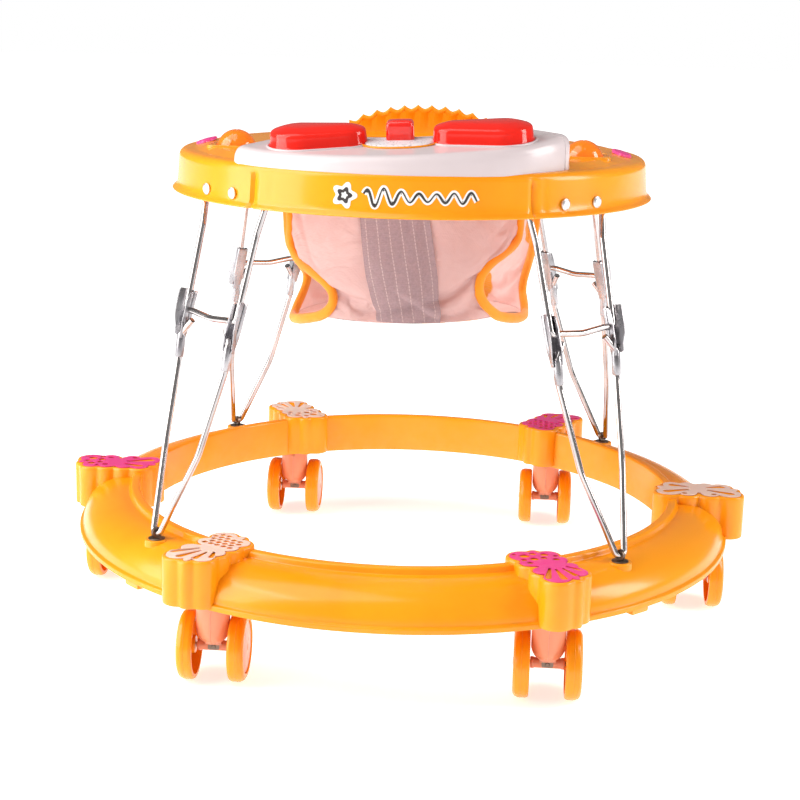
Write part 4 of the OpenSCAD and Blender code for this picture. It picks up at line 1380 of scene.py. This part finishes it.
def strap(front_radius):
    """The webbing, laid on the hung front panel and smoothed so that it bridges the cloth's creases."""
    across, down = 56, 120
    spots, radii = [], []
    for j in range(down + 1):
        z = STRAP_TOP + (STRAP_LOW - STRAP_TOP) * j / down
        middle, half = (smooth_table([(k, v[n]) for k, v in STRAP], z) for n in (0, 1))
        spots.append([(middle + half * (2 * i / across - 1), z) for i in range(across + 1)])
        line = []
        for az, z in spots[-1]:
            under = [front_radius(az + da, z + dz) for da in (-1.5, 0, 1.5) for dz in (-2, 0, 2)]
            under = [r for r in under if r]
            line.append((max(under) if under else bag_point(az, z).xy.length) + strap_lift(az, z))
        radii.append(line)
    for _ in range(2):
        radii = [averaged(line) for line in radii]
    for _ in range(6):
        radii = list(zip(*(averaged(column) for column in zip(*radii))))
    verts = [Vector(polar(az, r, z)) * MM for spot_row, line in zip(spots, radii)
             for (az, z), r in zip(spot_row, line)]
    mesh = bpy.data.meshes.new("seat_webbing")
    mesh.from_pydata(verts, [], [[a, d, c, b] for a, b, c, d in grid_faces(across, down)])
    mesh.materials.append(WEBBING)
    uv = mesh.uv_layers.new(name="across")
    for loop in mesh.loops:
        j, i = divmod(loop.vertex_index, across + 1)
        uv.data[loop.index].uv = (i / across, j / down)
    o = linked("seat_webbing", mesh)
    thicken(o, STRAP_T)
    shade(o, 60)
    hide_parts("seat_strap")
    sewn(o, "webbing")


def seat():
    """Three hung panels, the binding round the leg holes and the webbing in front."""
    frames = 24
    front_grid = grid(panel_point(FRONT_EDGE, (269, 273), False), 84, 60)
    back_grid = grid(panel_point(BACK_EDGE, (265, 256), True), 96, 56)
    front, area = hang("seat_front_panel", *front_grid, 0.04, frames)
    radius = surface_radius(front)
    finish_panel(front, SEAT, area, "seat_front")
    back, area = hang("seat_back_panel", *back_grid, 0.02, frames)
    finish_panel(back, SEAT_PRINT, area, "seat_back")
    low, area = hang("seat_bottom_panel", *seat_bottom_grid(96, 16), 0.0, frames)
    finish_panel(low, SEAT_PRINT, area, "seat_bottom")
    leg_bindings()
    strap(radius)


seat()


# ---------- the CAD pieces that stay, with their finishes ----------

FINISHES = {
    "wire": WIRE, "clip_steel": CLIP, "dark_steel": DARK_STEEL, "rivet_steel": RIVET, "white_plastic": WHITE,
    "yellow_plastic": YELLOW, "peach_plastic": PEACH, "red_plastic": RED, "amber_plastic": AMBER,
}
# How much stouter the wires are drawn, tapering to nothing over a height below their brackets
WIRE_EXTRA, WIRE_TOP, WIRE_TAPER = 0.5, 378, 8


def finish_cad_nodes():
    slots = {row["node"]: row["material_slot"] for row in frame["record"]["subparts"]}
    for name, node in frame["nodes"].items():
        if node.hide_render:
            continue
        node.data.materials.clear()
        node.data.materials.append(FINISHES.get(slots[name], WHITE))


def stout_wires():
    """The leg wires as drawn rods: the bent CAD rods, a little stouter, as in the photograph."""
    bodies = {empty: name for name, empty in frame["bodies"].items()}
    for name, node in frame["nodes"].items():
        if not name.endswith("_wire"):
            continue
        mesh = node.data.copy()
        out = [Vector() for _ in mesh.vertices]
        for corner, normal in zip(mesh.loops, mesh.corner_normals):
            out[corner.vertex_index] += normal.vector
        for v in mesh.vertices:
            z = (node.matrix_world @ v.co).z / MM
            taper = min(max((WIRE_TOP - z) / WIRE_TAPER, 0), 1)
            v.co += out[v.index].normalized() * WIRE_EXTRA * taper * MM
        mesh.transform(node.matrix_world)
        mesh.materials.clear()
        mesh.materials.append(WIRE)
        o = linked(name + "_drawn", mesh)
        mount(o, bodies[node.parent], "wire", name)


finish_cad_nodes()
stout_wires()


# ---------- floor and light ----------

FLOOR_RADII, LIGHT_AIM = (14000, 6000, 2000, 600), 0.22


def pale_floor():
    """A floor that glows more the further away it is, so that it runs into the white behind it."""
    floor = Build()
    count = 64
    turns = [2 * math.pi * i / count for i in range(count)]
    floor.rings([[(r * math.cos(t), r * math.sin(t), 0) for t in turns] for r in FLOOR_RADII], cap_end=True)
    o = floor.plain("floor")
    m = Nodes("floor")
    m.colour(m.ramp(m.noise(2, 2), [(0, (0.92, 0.92, 0.925)), (1, (0.94, 0.94, 0.94))]))
    m.set(Roughness=0.9, Specular_IOR_Level=0.1, Emission_Color=(1, 1, 1, 1))
    away = m.new("ShaderNodeVectorMath", {0: m.coords}, operation="LENGTH").outputs["Value"]
    glow = m.new("ShaderNodeMapRange", {"From Min": 0.5, "From Max": 4.0, "To Min": 0.62, "To Max": 1.1,
                                        "Value": away})
    m.link(glow.outputs["Result"], m.shader.inputs["Emission Strength"])
    o.data.materials.append(m.material)


def studio():
    """White to the camera; to everything else a dim grey room, a little darker at the back."""
    world = bpy.data.worlds.new("studio")
    scene.world = world
    t = Tree(world)
    way = t.new("ShaderNodeSeparateXYZ", {"Vector": t.new("ShaderNodeTexCoord").outputs["Generated"]})
    shift = t.new("ShaderNodeMapRange", {"From Min": -0.8, "From Max": 0.6, "Value": way.outputs["Y"]})
    room = t.ramp(shift.outputs["Result"], [(0, (0.30, 0.295, 0.29)), (1, (0.20, 0.195, 0.19))])
    camera_ray = t.new("ShaderNodeLightPath").outputs["Is Camera Ray"]
    shown = t.new("ShaderNodeMix", {0: camera_ray, 6: room, 7: (1.0, 1.0, 1.0, 1)}, data_type="RGBA")
    back = t.new("ShaderNodeBackground", {"Color": shown.outputs[2], "Strength": 1.0})
    t.new("ShaderNodeOutputWorld", {"Surface": back.outputs["Background"]})
    scene.view_settings.view_transform = "Standard"
    scene.view_settings.look = "None"


def soft_box(name, azimuth, distance, height, size, power, colour):
    """An area light aimed at the seat. Azimuth is counted from the front, in degrees."""
    data = bpy.data.lights.new(name, "AREA")
    data.shape, data.size, data.size_y = "RECTANGLE", size[0], size[1]
    data.energy, data.color = power, colour
    light = linked(name, data)
    light.location = polar(azimuth, distance, height)
    light.rotation_mode = "QUATERNION"
    light.rotation_quaternion = (Vector((0, 0, LIGHT_AIM)) - light.location).to_track_quat("-Z", "Y")


pale_floor()
studio()
soft_box("key_left", -68, 1.7, 1.0, (1.6, 1.9), 46, (1.0, 0.985, 0.95))
soft_box("fill_right", 84, 1.7, 1.0, (0.6, 1.1), 20, (1.0, 0.95, 0.92))
soft_box("top", -62, 0.9, 2.1, (1.5, 1.5), 17, (1.0, 1.0, 0.99))
